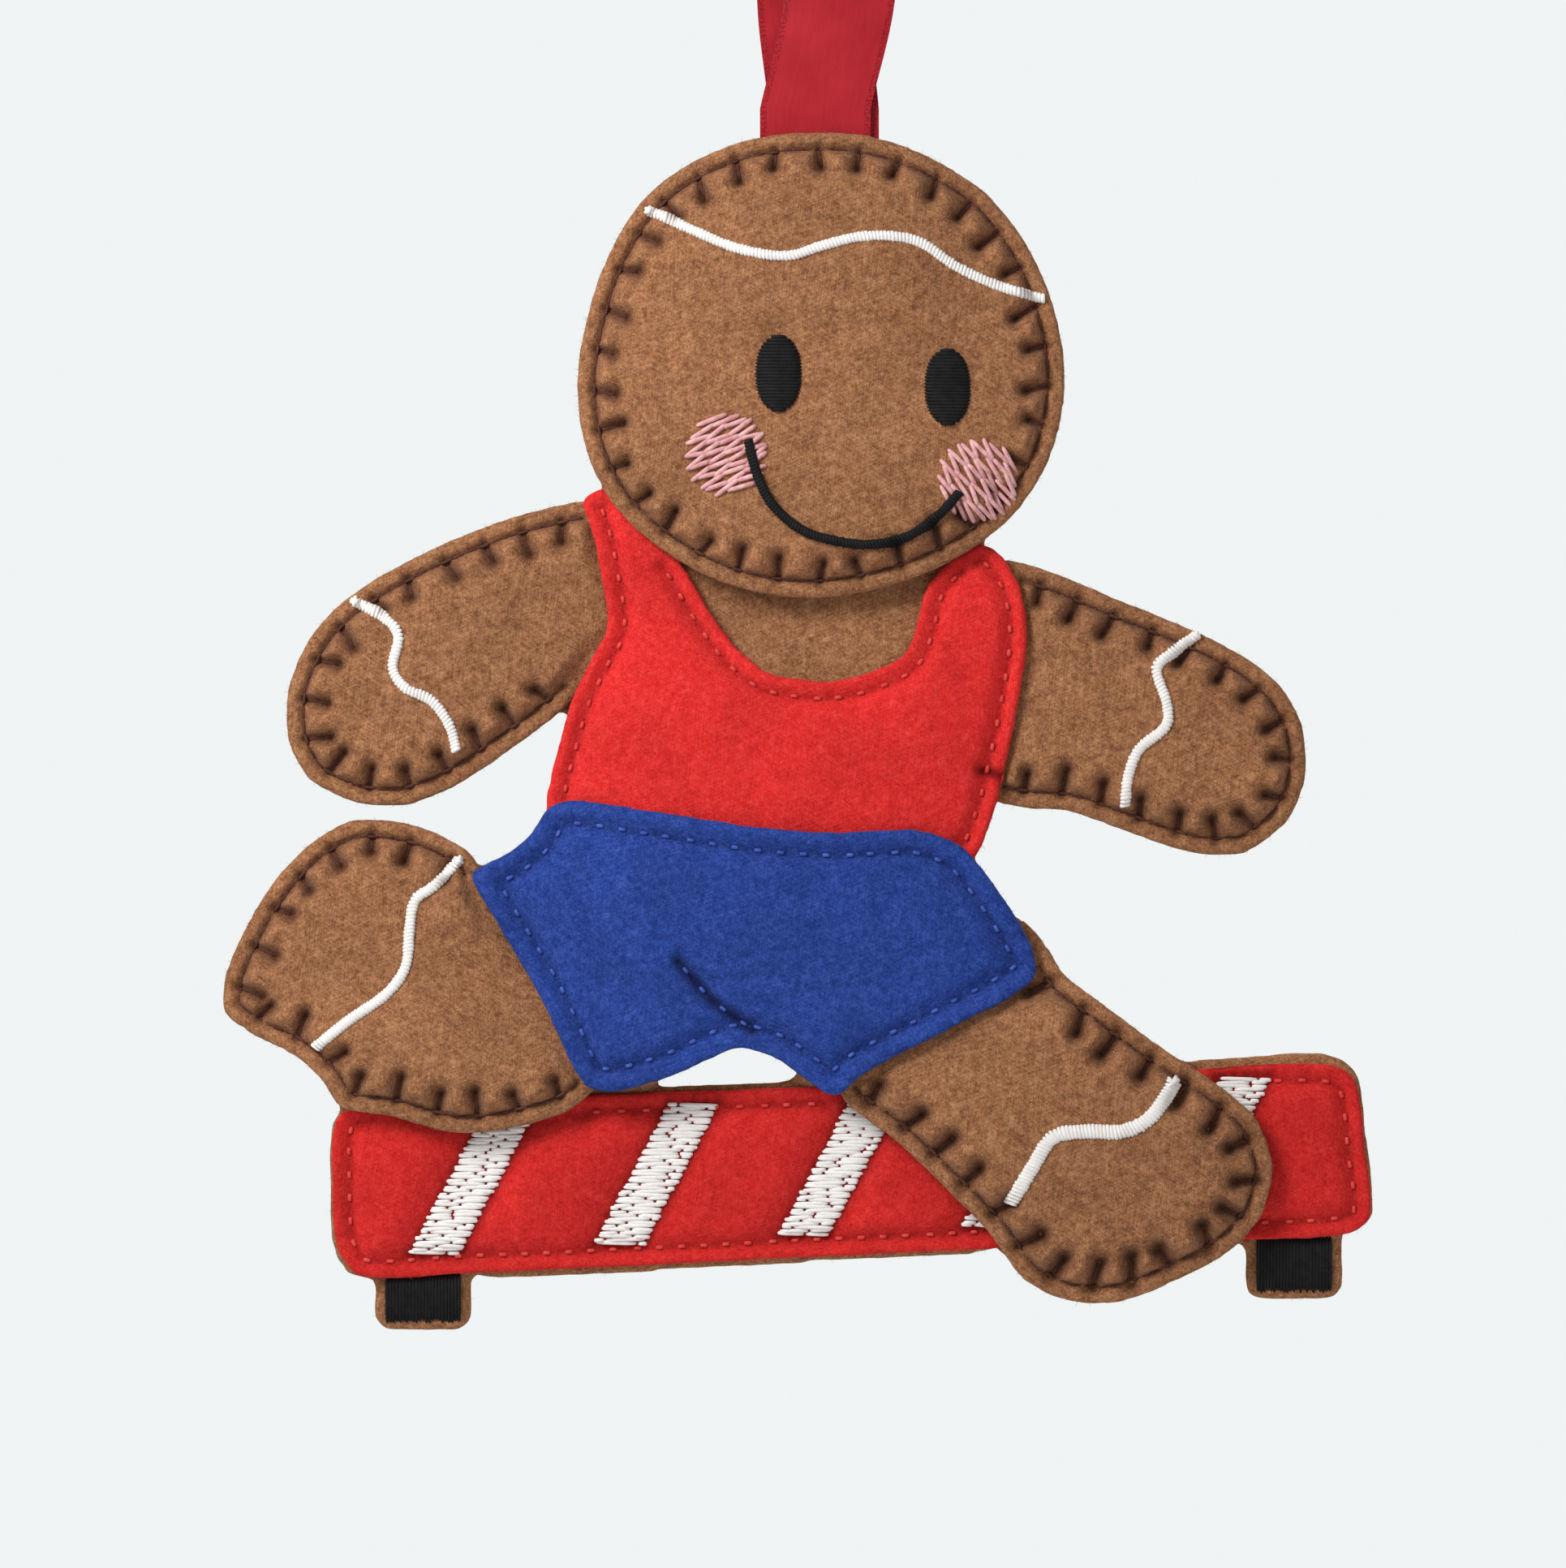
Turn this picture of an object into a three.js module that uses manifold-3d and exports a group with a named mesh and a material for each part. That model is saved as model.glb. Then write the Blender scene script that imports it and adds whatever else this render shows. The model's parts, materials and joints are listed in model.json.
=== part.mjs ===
// A padded felt gingerbread athlete astride a striped board, hung on a loop of satin ribbon.
// Millimetres, +Z up. The figure is upright in the XZ plane and faces -Y.
// The origin is the inside top of the ribbon loop, where it rests on its hook.
import * as THREE from 'three';
import * as BufferGeometryUtils from 'three/addons/utils/BufferGeometryUtils.js';
import Module from 'manifold-3d';

// Felt and the way its layers lie on each other
const FELT = 1.0;
const SEAM_GAP = 0.3;
const PLY_GAP = 0.3;
const LAP = 4.5;
const SHORT_LAP = 1.5;
const HEAD_DRAPE = 16;
const LIMB_DRAPE = 9;
const TUCK = 2.5;
const BOARD_MARGIN = 0.3;
const BOARD_LIFT = 0.6;

// Padding: how far each part swells, and over what distance it rises behind its flat edge
const HEAD_CROWN = 2;
const TRUNK_CROWN = 1.6;
const ARM_CROWN = 1.7;
const LEG_CROWN = 1.8;
const FLAT_EDGE = 1.8;
const PADDING_RISE = 8.5;
const THINNEST_WADDING = 0.4;

// Ribbon
const RIBBON_WIDTH = 10;
const RIBBON_THICKNESS = 0.35;
const RIBBON_LENGTH = 152;
const TAIL_LENGTH = 10;
const BEND_RADIUS = 4.6;
const BEND_REACH = 12.7;
const HINGE_RISE = 2.2;
const HINGE_GAP = 0.3;
const FRONT_LEAN = 4.6;
const BACK_LEAN = -1.6;

// Thread and embroidery
const THREAD_WIDTH = 0.5;
const THREAD_HEIGHT = 0.4;
const BLANKET_INSET = 1.6;
const BLANKET_PITCH = 3.7;
const BLANKET_TINE = 2.2;
const RUNNING_INSET = 1.6;
const SHORTS_INSET = 2.1;
const SATIN_HEIGHT = 0.5;
const ICING_WIDTH = 1.2;
const SMILE_WIDTH = 0.9;
const EYE_WIDTH = 4.3;
const EYE_HEIGHT = 6.9;
const CHEEK_WIDTH = 6.8;
const CHEEK_HEIGHT = 7.2;
const STRIPE_COUNT = 5;
const STRIPE_PITCH = 16.24;
const STRIPE_WIDTH = 5;
const STRIPE_SLANT = 28;
const FIRST_STRIPE = -30.85;
const FOOT_WIDTH = 6.8;
const FOOT_HEIGHT = 4.4;
const FOOT_CORNER = 0.8;
const FOOT_TAB = 1.1;

// Mesh fineness
const FELT_GRID = 4.2;
const EDGE_STEP = 3;
const LEG_STEPS = 10;
const BEND_STEPS = 9;
const ROUND_STEPS = 20;
const CORNER_STEPS = 3;
const TRACE_SLACK = 0.03;
const WELD = 1e-4;

// Colours and finishes
const BROWN = 0x9a6b48;
const RED = 0xdc2a29;
const BLUE = 0x2c4694;
const CRIMSON = 0xb42c33;
const WHITE = 0xf3eee8;
const BLACK = 0x242324;
const PINK = 0xe3a0a3;
const DARK_BROWN = 0x55301f;
const DEEP_RED = 0xb81f22;
const DEEP_BLUE = 0x26387c;
const CREAM = 0xe6e0d4;
const MATT = 0.95;
const SHEEN = 0.5;

// Outlines of the felt pieces, seen from the front: x to the right, z up, from the top of the head
const HEAD = [[0, 0], [-6, -0.6], [-11, -2.4], [-15.6, -5.6], [-19, -10.8], [-21, -16.5], [-21.9, -23],
  [-21, -29], [-18.4, -34], [-14, -38], [-8, -41.1], [-1, -42.2], [6, -41.2], [12, -38.8], [17.3, -34.9],
  [20.8, -29.5], [22.2, -23], [21.5, -16.8], [19, -10.5], [14.8, -5.2], [9, -1.8], [4.5, -0.4]];
const TORSO = [[-14, -37.6], [-18, -37], [-17.2, -40.5], [-16.6, -45], [-18.6, -49], [-20.2, -52.8],
  [-21.4, -57], [-22.4, -61.5], [-24.6, -65.5], [-27.9, -68.2], [-25.5, -73], [-22, -79], [-19.6, -83.4],
  [-15.5, -83], [-11, -81.6], [-7.4, -79.8], [-4, -81.2], [0.9, -83.8], [4, -82.4], [10, -79], [16.4, -75.3],
  [14.3, -71.6], [11.8, -66.8], [12.8, -62.5], [14.2, -57], [15.4, -51], [16.2, -45.5], [15.9, -42],
  [14.2, -39.8], [8, -37.4], [0, -38.4], [-8, -38.2]];
const LEFT_ARM = [[-19.9, -33.6], [-24.6, -33.9], [-31, -35.9], [-37, -38.6], [-42.5, -41.9], [-46.2, -45.8],
  [-48.2, -51], [-48.1, -54.8], [-45.8, -58.8], [-42, -60.6], [-38, -60.9], [-33.5, -59.4], [-28.5, -56.2],
  [-23.2, -52.2], [-20, -48.6], [-17.9, -44.6], [-18.4, -39.5]];
const RIGHT_ARM = [[16.3, -38.8], [21, -39.7], [26.5, -42], [32.5, -44.4], [37.5, -46.8], [41.6, -49.9],
  [43.8, -54], [44, -58.2], [42.4, -62.2], [39, -64.9], [34.5, -65.3], [28.5, -63.5], [22.5, -61.4],
  [15.4, -60.2], [15.8, -54.5], [17, -47], [16.9, -42]];
const LEFT_LEG = [[-31.3, -65.4], [-34.4, -63.4], [-38, -62.3], [-42.4, -62.2], [-46, -64.2], [-49.4, -67.8],
  [-52, -72], [-53.9, -76.8], [-53.8, -79.6], [-51, -81.7], [-47.6, -83.3], [-45, -85.5], [-43.3, -88],
  [-38.5, -88.9], [-33, -90.4], [-28, -90], [-22.3, -88.2], [-20.2, -86.2], [-22.3, -81.8], [-26.1, -75.2],
  [-30, -68.2]];
const RIGHT_LEG = [[17.6, -70.6], [20.2, -73], [22, -75.9], [25.6, -78.7], [31, -82.7], [36, -86],
  [39.6, -89.4], [40.9, -93.5], [40, -97.5], [37, -101], [32.5, -103.5], [27, -105.6], [22, -105.4],
  [18, -103.2], [15.6, -99.8], [11.5, -95.5], [6.5, -90.8], [2.2, -87.5], [1.6, -85.6], [7.5, -82.1],
  [14.2, -78.2], [17.9, -75.8]];
const VEST = [[-21.4, -33.4], [-19.8, -32.3], [-17.2, -33], [-14.6, -36], [-11.9, -39.8], [-10.3, -42.6],
  [-7.8, -46.2], [-4.2, -49], [0, -49.6], [4.5, -48.8], [7.6, -47.2], [8.8, -44.2], [9.6, -41.2],
  [11.4, -38.9], [14.4, -37.2], [16.4, -38.2], [18.2, -41.2], [18.8, -45.2], [18.1, -51], [16.9, -57],
  [15.8, -61.4], [14.2, -65.4], [12, -66.6], [-4, -66], [-21.6, -64], [-24.3, -62.8], [-24.7, -60.6],
  [-23.6, -55.5], [-22.5, -51.6], [-20.6, -47.5], [-19.2, -44.7], [-19.7, -40.5], [-20.5, -36.5]];
const SHORTS = [[-22.9, -60.4], [-15, -61.3], [-5, -62.8], [2, -63.2], [9, -63], [12.5, -64.3], [16, -68.3],
  [19.4, -74.2], [19.4, -76.4], [13, -80.3], [4, -85], [1.4, -87], [-1, -85.7], [-4, -83.6], [-7.2, -82.7],
  [-12.5, -84.9], [-18.5, -86.6], [-20.9, -86.2], [-25, -78.5], [-30, -70], [-31.4, -67.4], [-30.6, -66.3],
  [-28, -65], [-26, -63.3], [-24.6, -61.2]];
const BOARD = [[-41.8, -87.7], [-43.7, -89.2], [-44.1, -95], [-43.6, -101], [-42, -103.2], [-30, -103.1],
  [0, -101.7], [30, -100.3], [48.4, -99.4], [49.8, -98.2], [49.4, -92], [48.4, -85.6], [46.8, -84.4],
  [30, -84.9], [0, -86.2], [-25, -87.1]];

// Embroidered lines and the places of the eyes, cheeks and feet, in the same view
const SMILE = [[-6.4, -28.2], [-5.6, -31.2], [-4.2, -33.9], [-1.6, -36.1], [1.5, -37.1], [4.6, -37.4],
  [7.6, -36.8], [10.2, -35.2], [12.5, -32.8]];
const ICING = {
  head: [[-15.4, -7.1], [-11, -9.2], [-7.1, -10.8], [-3, -11.4], [0.2, -10.5], [3.4, -9.7], [6.5, -9.6],
    [9.2, -10.2], [12.4, -12.3], [16.5, -14.1], [20.2, -15]],
  left_arm: [[-42, -42.4], [-39.2, -44], [-38, -45.6], [-38.5, -48.4], [-37.4, -50.2], [-35, -51.4],
    [-33.4, -53.6], [-32.8, -55.8]],
  right_arm: [[34, -45.5], [31.6, -47.2], [30.4, -48.6], [31.3, -51.6], [31.2, -53.7], [28.8, -55.8],
    [27.8, -58.4], [27.6, -60.8]],
  left_leg: [[-32.6, -65.8], [-34.8, -68.1], [-36.5, -69.4], [-37, -72], [-37.3, -75.3], [-39, -77.8],
    [-42.4, -80.2], [-45.4, -82.6]],
  right_leg: [[31.8, -85.8], [29.8, -88.8], [27.2, -90.1], [24, -90.1], [21, -90.6], [19.2, -93.2],
    [17.2, -96.6]],
};
const SHORTS_SEAM = [[-11.9, -75.9], [-10.4, -77.6], [-8.6, -79.2]];
const LEFT_EYE = [-3.7, -22];
const RIGHT_EYE = [11.5, -23.2];
const LEFT_CHEEK = [-8.4, -29.3];
const RIGHT_CHEEK = [14.3, -31.6];
const LEFT_FOOT = [-35.9, -105.1];
const RIGHT_FOOT = [43, -102.4];

const wasm = await Module();
wasm.setup();

const { smoothstep } = THREE.MathUtils;
const point = ([x, z]) => new THREE.Vector2(x, z);

// A smooth curve through drawn points
function curveThrough(points, closed) {
  const spots = points.map((p) => new THREE.Vector3(p.x, p.y, 0));
  return new THREE.CatmullRomCurve3(spots, closed, 'centripetal');
}

// Points along the curve, with every drawn point among them
function trace(points, closed, step = EDGE_STEP) {
  const curve = curveThrough(points, closed);
  const spans = closed ? points.length : points.length - 1;
  const line = [];
  for (let i = 0; i < spans; i += 1) {
    const span = points[i].distanceTo(points[(i + 1) % points.length]);
    const steps = Math.max(1, Math.round(span / step));
    for (let s = 0; s < steps; s += 1) {
      const at = curve.getPoint((i + s / steps) / spans);
      line.push(new THREE.Vector2(at.x, at.y));
    }
  }
  if (!closed) line.push(points.at(-1).clone());
  return line;
}

function outline(drawn) {
  const line = trace(drawn.map(point), true);
  return THREE.ShapeUtils.isClockWise(line) ? line.reverse() : line;
}

// Distance from a point to an outline, positive inside it
function depthIn(line, p) {
  let nearest = Infinity;
  let within = false;
  for (let i = 0; i < line.length; i += 1) {
    const a = line[i];
    const b = line[(i + 1) % line.length];
    const dx = b.x - a.x;
    const dz = b.y - a.y;
    const along = ((p.x - a.x) * dx + (p.y - a.y) * dz) / (dx * dx + dz * dz);
    const t = THREE.MathUtils.clamp(along, 0, 1);
    nearest = Math.min(nearest, Math.hypot(p.x - a.x - t * dx, p.y - a.y - t * dz));
    if ((a.y > p.y) !== (b.y > p.y) && p.x < a.x + ((p.y - a.y) * dx) / dz) within = !within;
  }
  return within ? nearest : -nearest;
}

// The outline moved inwards by a distance (outwards where it is negative)
function inset(line, distance) {
  const moved = line.map((p, i) => {
    const before = line[(i + line.length - 1) % line.length];
    const after = line[(i + 1) % line.length];
    const along = after.clone().sub(before).normalize();
    return new THREE.Vector2(p.x - along.y * distance, p.y + along.x * distance);
  });
  const least = (1 - TRACE_SLACK) * Math.abs(distance);
  return moved.filter((p) => Math.abs(depthIn(line, p)) > least);
}

function ellipse([x, z], width, height) {
  const ring = new THREE.EllipseCurve(x, z, width / 2, height / 2).getPoints(ROUND_STEPS);
  return ring.slice(0, -1);
}

function roundedBox(x0, z0, x1, z1, corner) {
  const shape = new THREE.Shape();
  shape.moveTo(x0 + corner, z0);
  shape.lineTo(x1 - corner, z0);
  shape.quadraticCurveTo(x1, z0, x1, z0 + corner);
  shape.lineTo(x1, z1);
  shape.lineTo(x0, z1);
  shape.lineTo(x0, z0 + corner);
  shape.quadraticCurveTo(x0, z0, x0 + corner, z0);
  return shape.getPoints(CORNER_STEPS).slice(0, -1);
}

// Triangles over an outline and evenly spread points inside it
function circled(points, a, b, c) {
  const [p, q, r] = [points[a], points[b], points[c]];
  const twice = 2 * (p.x * (q.y - r.y) + q.x * (r.y - p.y) + r.x * (p.y - q.y));
  const [pp, qq, rr] = [p.lengthSq(), q.lengthSq(), r.lengthSq()];
  const centre = new THREE.Vector2(
    (pp * (q.y - r.y) + qq * (r.y - p.y) + rr * (p.y - q.y)) / twice,
    (pp * (r.x - q.x) + qq * (p.x - r.x) + rr * (q.x - p.x)) / twice,
  );
  return { corners: [a, b, c], centre, radius: centre.distanceTo(p), area: twice / 4 };
}

function delaunay(points) {
  const far = 1e4;
  const count = points.length;
  const all = [...points, point([-far, -far]), point([far, -far]), point([0, far])];
  let triangles = [circled(all, count, count + 1, count + 2)];
  points.forEach((p, i) => {
    const hit = triangles.filter((t) => p.distanceTo(t.centre) < t.radius);
    const rim = new Map();
    for (const { corners } of hit) {
      corners.forEach((a, k) => {
        const b = corners[(k + 1) % 3];
        if (!rim.delete(`${b} ${a}`)) rim.set(`${a} ${b}`, [a, b]);
      });
    }
    const fan = [...rim.values()].map(([a, b]) => circled(all, a, b, i));
    triangles = triangles.filter((t) => !hit.includes(t)).concat(fan);
  });
  return triangles.filter((t) => t.corners.every((c) => c < count));
}

function sheet(line) {
  const box = new THREE.Box2().setFromPoints(line);
  const row = FELT_GRID * Math.sqrt(3 / 4);
  const points = [...line];
  for (let j = Math.ceil(box.min.y / row); j * row < box.max.y; j += 1) {
    const shift = Math.abs(j % 2) / 2;
    for (let i = Math.floor(box.min.x / FELT_GRID); i * FELT_GRID < box.max.x; i += 1) {
      const p = point([(i + shift) * FELT_GRID, j * row]);
      if (depthIn(line, p) > FELT_GRID / 2) points.push(p);
    }
  }
  const speck = 0.02;
  const middle = (t) => t.corners.reduce((sum, c) => sum.add(points[c]), point([0, 0])).divideScalar(3);
  const kept = delaunay(points).filter((t) => t.area > speck && depthIn(line, middle(t)) > 0);
  return { points, triangles: kept.map((t) => t.corners) };
}

// Triangles over a narrow or flat shape, from its edges alone
function plate(contour, holes = []) {
  const triangles = THREE.ShapeUtils.triangulateShape(contour, holes);
  return { points: [...contour, ...holes.flat()], triangles };
}

// A closed solid between two surfaces over the same triangles; depth is measured towards the viewer
function slab({ points, triangles }, back, front) {
  const position = [];
  for (const surface of [back, front]) {
    for (const p of points) position.push(p.x, -surface(p), p.y);
  }
  const n = points.length;
  const index = [];
  const open = new Map();
  for (const [a, b, c] of triangles) {
    index.push(a + n, b + n, c + n, c, b, a);
    for (const [from, to] of [[a, b], [b, c], [c, a]]) {
      if (!open.delete(`${to} ${from}`)) open.set(`${from} ${to}`, [from, to]);
    }
  }
  for (const [from, to] of open.values()) {
    index.push(to + n, from + n, from, to + n, from, to);
  }
  const geometry = new THREE.BufferGeometry();
  geometry.setAttribute('position', new THREE.Float32BufferAttribute(position, 3));
  geometry.setIndex(index);
  return geometry;
}

const level = (height) => () => height;
const prism = (line, back, front) => slab(plate(line), level(back), level(front));

function solid(geometry) {
  const merged = BufferGeometryUtils.mergeVertices(geometry, WELD);
  const vertProperties = new Float32Array(merged.attributes.position.array);
  const triVerts = new Uint32Array(merged.index.array);
  return new wasm.Manifold(new wasm.Mesh({ numProp: 3, vertProperties, triVerts }));
}

function meshOf(cut) {
  const { vertProperties, triVerts } = cut.getMesh();
  const geometry = new THREE.BufferGeometry();
  geometry.setAttribute('position', new THREE.BufferAttribute(new Float32Array(vertProperties), 3));
  geometry.setIndex(new THREE.BufferAttribute(new Uint32Array(triVerts), 1));
  return geometry;
}

// The traced pieces
const head = outline(HEAD);
const torso = outline(TORSO);
const vest = outline(VEST);
const shorts = outline(SHORTS);
const board = outline(BOARD);
const arms = { left_arm: outline(LEFT_ARM), right_arm: outline(RIGHT_ARM) };
const legs = { left_leg: outline(LEFT_LEG), right_leg: outline(RIGHT_LEG) };
const half = RIBBON_WIDTH / 2;
const tail = [[-half, -TAIL_LENGTH], [half, -TAIL_LENGTH], [half, HINGE_RISE], [-half, HINGE_RISE]]
  .map(point);

// How far the padding pushes the felt forward: each part swells between its own sewn edges, and what
// lies on top of it presses its edge flat
const padded = [
  { line: head, grow: 0, crown: HEAD_CROWN },
  { line: torso, grow: TUCK, crown: TRUNK_CROWN },
  ...Object.values(legs).map((line) => ({ line, grow: 0, crown: LEG_CROWN })),
  ...Object.values(arms).map((line) => ({ line, grow: 0, crown: ARM_CROWN })),
];

function swell(p) {
  let clear = Infinity;
  for (const { line, grow, crown } of padded) {
    const depth = depthIn(line, p) + grow;
    if (depth > 0) {
      return crown * smoothstep(Math.min(depth, clear), FLAT_EDGE, FLAT_EDGE + PADDING_RISE);
    }
    clear = Math.min(clear, -depth);
  }
  return 0;
}

// Where the back of each piece lies: on the back felt, or raised by what it lies over
const PLY = FELT + PLY_GAP;
const seat = (plies) => SEAM_GAP / 2 + plies * PLY;

function raised(p, lower, height, lap, drape) {
  const away = -Math.max(...lower.map((line) => depthIn(line, p)));
  return height * (1 - smoothstep(away, lap, lap + drape));
}

const headSeat = (p) => seat(0) + Math.max(
  raised(p, [torso, vest], 2 * PLY, LAP, HEAD_DRAPE),
  raised(p, [tail], 2 * RIBBON_THICKNESS + PLY_GAP, SHORT_LAP, LIMB_DRAPE),
);
const overBoard = (p) => raised(p, [board], PLY + SATIN_HEIGHT + PLY_GAP, LAP, LIMB_DRAPE);
const legSeat = (p) => seat(0) + overBoard(p);
const shortsSeat = (p) => seat(1) + Math.max(raised(p, [vest], PLY, LAP, LIMB_DRAPE), overBoard(p));

const figure = new THREE.Group();

function add(parent, name, geometry, colour, roughness) {
  const material = new THREE.MeshStandardMaterial({ color: colour, roughness, metalness: 0 });
  const mesh = new THREE.Mesh(geometry, material);
  mesh.name = name;
  parent.add(mesh);
}

// Height of a faceted surface at any point of its outline
function faceted({ points, triangles }, surface) {
  const heights = points.map(surface);
  return (p) => {
    for (const [a, b, c] of triangles) {
      const [u, v, w] = [points[a], points[b], points[c]];
      const area = (v.x - u.x) * (w.y - u.y) - (w.x - u.x) * (v.y - u.y);
      const atB = ((p.x - u.x) * (w.y - u.y) - (w.x - u.x) * (p.y - u.y)) / area;
      const atC = ((v.x - u.x) * (p.y - u.y) - (p.x - u.x) * (v.y - u.y)) / area;
      if (atB >= 0 && atC >= 0 && atB + atC <= 1) {
        return heights[a] + atB * (heights[b] - heights[a]) + atC * (heights[c] - heights[a]);
      }
    }
    return surface(p);
  };
}

// Felt pieces; each gives the height of its back and front for what is sewn on or packed behind it
function feltPiece(name, line, seatOf, colour, swollen = swell) {
  const cloth = sheet(line);
  const back = (p) => seatOf(p) + swollen(p);
  const front = (p) => back(p) + FELT;
  add(figure, `${name}_felt`, slab(cloth, back, front), colour, MATT);
  return { line, back: faceted(cloth, back), front: faceted(cloth, front), seatOf };
}

const felt = {
  head: feltPiece('head', head, headSeat, BROWN),
  trunk: feltPiece('torso', torso, level(seat(0)), BROWN),
  vest: feltPiece('vest', vest, level(seat(1)), RED),
  shorts: feltPiece('shorts', shorts, shortsSeat, BLUE),
  board: feltPiece('board', board, level(seat(0)), RED, level(0)),
};
for (const [name, line] of Object.entries(arms)) felt[name] = feltPiece(name, line, level(seat(0)), BROWN);
for (const [name, line] of Object.entries(legs)) felt[name] = feltPiece(name, line, legSeat, BROWN);

// Back felt: one flat piece behind everything, with a tab behind each black foot
function footBox([x, z], grow) {
  const across = FOOT_WIDTH / 2 + grow;
  const up = FOOT_HEIGHT / 2;
  return roundedBox(x - across, z - up - grow, x + across, z + up + 2 * grow, FOOT_CORNER + grow);
}

// Behind the board it lies a little askew and stands up at the right end
function askew(line) {
  const left = Math.min(...line.map((p) => p.x));
  const right = Math.max(...line.map((p) => p.x));
  return line.map((p) => new THREE.Vector2(p.x, p.y + (BOARD_LIFT * (p.x - left)) / (right - left)));
}

const feet = { left_foot: LEFT_FOOT, right_foot: RIGHT_FOOT };
const backDepth = [seat(0) - SEAM_GAP - FELT, seat(0) - SEAM_GAP];
const silhouette = [head, torso, vest, shorts, ...Object.values(arms), ...Object.values(legs),
  askew(inset(board, -BOARD_MARGIN)), ...Object.values(feet).map((at) => footBox(at, FOOT_TAB))];
const backFelt = silhouette
  .map((line) => solid(prism(line, ...backDepth)))
  .reduce((whole, piece) => whole.add(piece));
add(figure, 'back_felt', meshOf(backFelt), BROWN, MATT);

// Wadding fills each padded part where the felt stands clear of what is behind it
function waddingOutline({ line, grow, crown }, covers) {
  const share = (PLY_GAP + THINNEST_WADDING) / crown;
  const rise = 0.5 - Math.sin(Math.asin(1 - 2 * share) / 3);
  const margin = FLAT_EDGE + rise * PADDING_RISE;
  const least = (1 - TRACE_SLACK) * margin;
  const clearOf = (p, others) => others.every((o) => -depthIn(o.line, p) - o.grow > least);
  const own = inset(line, margin - grow).filter((p) => clearOf(p, covers));
  const pressed = covers.flatMap((cover) => inset(cover.line, -margin - cover.grow)
    .filter((p) => depthIn(line, p) > margin - grow)
    .filter((p) => clearOf(p, covers)));
  const ring = [...own, ...pressed];
  const middle = ring.reduce((sum, p) => sum.add(p), point([0, 0])).divideScalar(ring.length);
  const turn = (p) => Math.atan2(p.y - middle.y, p.x - middle.x);
  return ring.sort((a, b) => turn(a) - turn(b));
}

const [headPad, trunkPad] = padded;
const pressedBy = { head: [], trunk: [headPad] };
const padNames = ['head', 'trunk', ...Object.keys(legs), ...Object.keys(arms)];
padNames.forEach((name, i) => {
  const line = waddingOutline(padded[i], pressedBy[name] ?? [trunkPad]);
  const { seatOf, back } = felt[name];
  add(figure, `${name}_wadding`, slab(sheet(line), seatOf, (p) => back(p) - PLY_GAP), CREAM, MATT);
});

// Thread laid along a line on the felt
function band(path, width, back, height) {
  const curve = curveThrough(path, false);
  const steps = Math.max(2, Math.round(curve.getLength() / (EDGE_STEP / 2)));
  const right = [];
  const left = [];
  for (let i = 0; i <= steps; i += 1) {
    const at = curve.getPointAt(i / steps);
    const along = curve.getTangentAt(i / steps);
    right.push(point([at.x + (along.y * width) / 2, at.y - (along.x * width) / 2]));
    left.push(point([at.x - (along.y * width) / 2, at.y + (along.x * width) / 2]));
  }
  const points = [...right, ...left];
  const triangles = [];
  for (let i = 0; i < steps; i += 1) {
    const l = i + steps + 1;
    triangles.push([i, i + 1, l + 1], [i, l + 1, l]);
  }
  return slab({ points, triangles }, back, (p) => back(p) + height);
}

// Thread rests on the highest felt within its reach
function onTop({ front }) {
  const reach = 2 * THREAD_WIDTH;
  const around = [[0, 0], [reach, 0], [-reach, 0], [0, reach], [0, -reach]].map(point);
  return (p) => PLY_GAP + Math.max(...around.map((step) => front(p.clone().add(step))));
}

// Embroidery that crosses the blanket stitch near the edge lies over its thread
function overStitch(piece) {
  const stitched = BLANKET_INSET + BLANKET_TINE + THREAD_WIDTH;
  const climb = THREAD_HEIGHT + PLY_GAP;
  const low = onTop(piece);
  return (p) => low(p) + climb * (1 - smoothstep(depthIn(piece.line, p), stitched, stitched + LAP));
}

// Runs of an inset outline that nothing on top covers
function visibleRuns(line, distance, covers) {
  const ring = inset(line, distance);
  const shown = ring.map((p) => covers.every((cover) => -depthIn(cover, p) > 2 * THREAD_WIDTH));
  const start = shown.findIndex((now, i) => now && !shown[(i + ring.length - 1) % ring.length]);
  if (start < 0) return [{ path: ring, closed: true }];
  const runs = [];
  for (let i = 0; i < ring.length; i += 1) {
    const k = (start + i) % ring.length;
    const before = (k + ring.length - 1) % ring.length;
    if (shown[k] && !shown[before]) runs.push([]);
    if (shown[k]) runs.at(-1).push(ring[k]);
  }
  const shortest = 4;
  return runs.filter((run) => run.length >= shortest).map((path) => ({ path, closed: false }));
}

// Blanket stitch: a thread along the edge with tines pointing inwards
function blanket({ path, closed }, piece) {
  const curve = curveThrough(path, closed);
  const length = curve.getLength();
  const tines = Math.round(length / BLANKET_PITCH);
  const side = THREAD_WIDTH / 2;
  const offset = (s, inward) => {
    const u = THREE.MathUtils.clamp(s / length, 0, 1);
    const at = curve.getPointAt(u);
    const along = curve.getTangentAt(u);
    return point([at.x - along.y * inward, at.y + along.x * inward]);
  };
  const outer = [];
  const inner = [];
  for (let i = 0; i < tines; i += 1) {
    const s = ((i + 0.5) * length) / tines;
    const next = (i * length) / tines;
    outer.push(offset(next, -side), offset(s, -side));
    inner.push(offset(next, side));
    inner.push(offset(s - side, side), offset(s - side, side + BLANKET_TINE));
    inner.push(offset(s + side, side + BLANKET_TINE), offset(s + side, side));
  }
  const back = onTop(piece);
  const height = (p) => back(p) + THREAD_HEIGHT;
  if (closed) return slab(plate(outer, [inner.reverse()]), back, height);
  outer.push(offset(length, -side));
  inner.push(offset(length, side));
  return slab(plate([...outer, ...inner.reverse()]), back, height);
}

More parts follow.
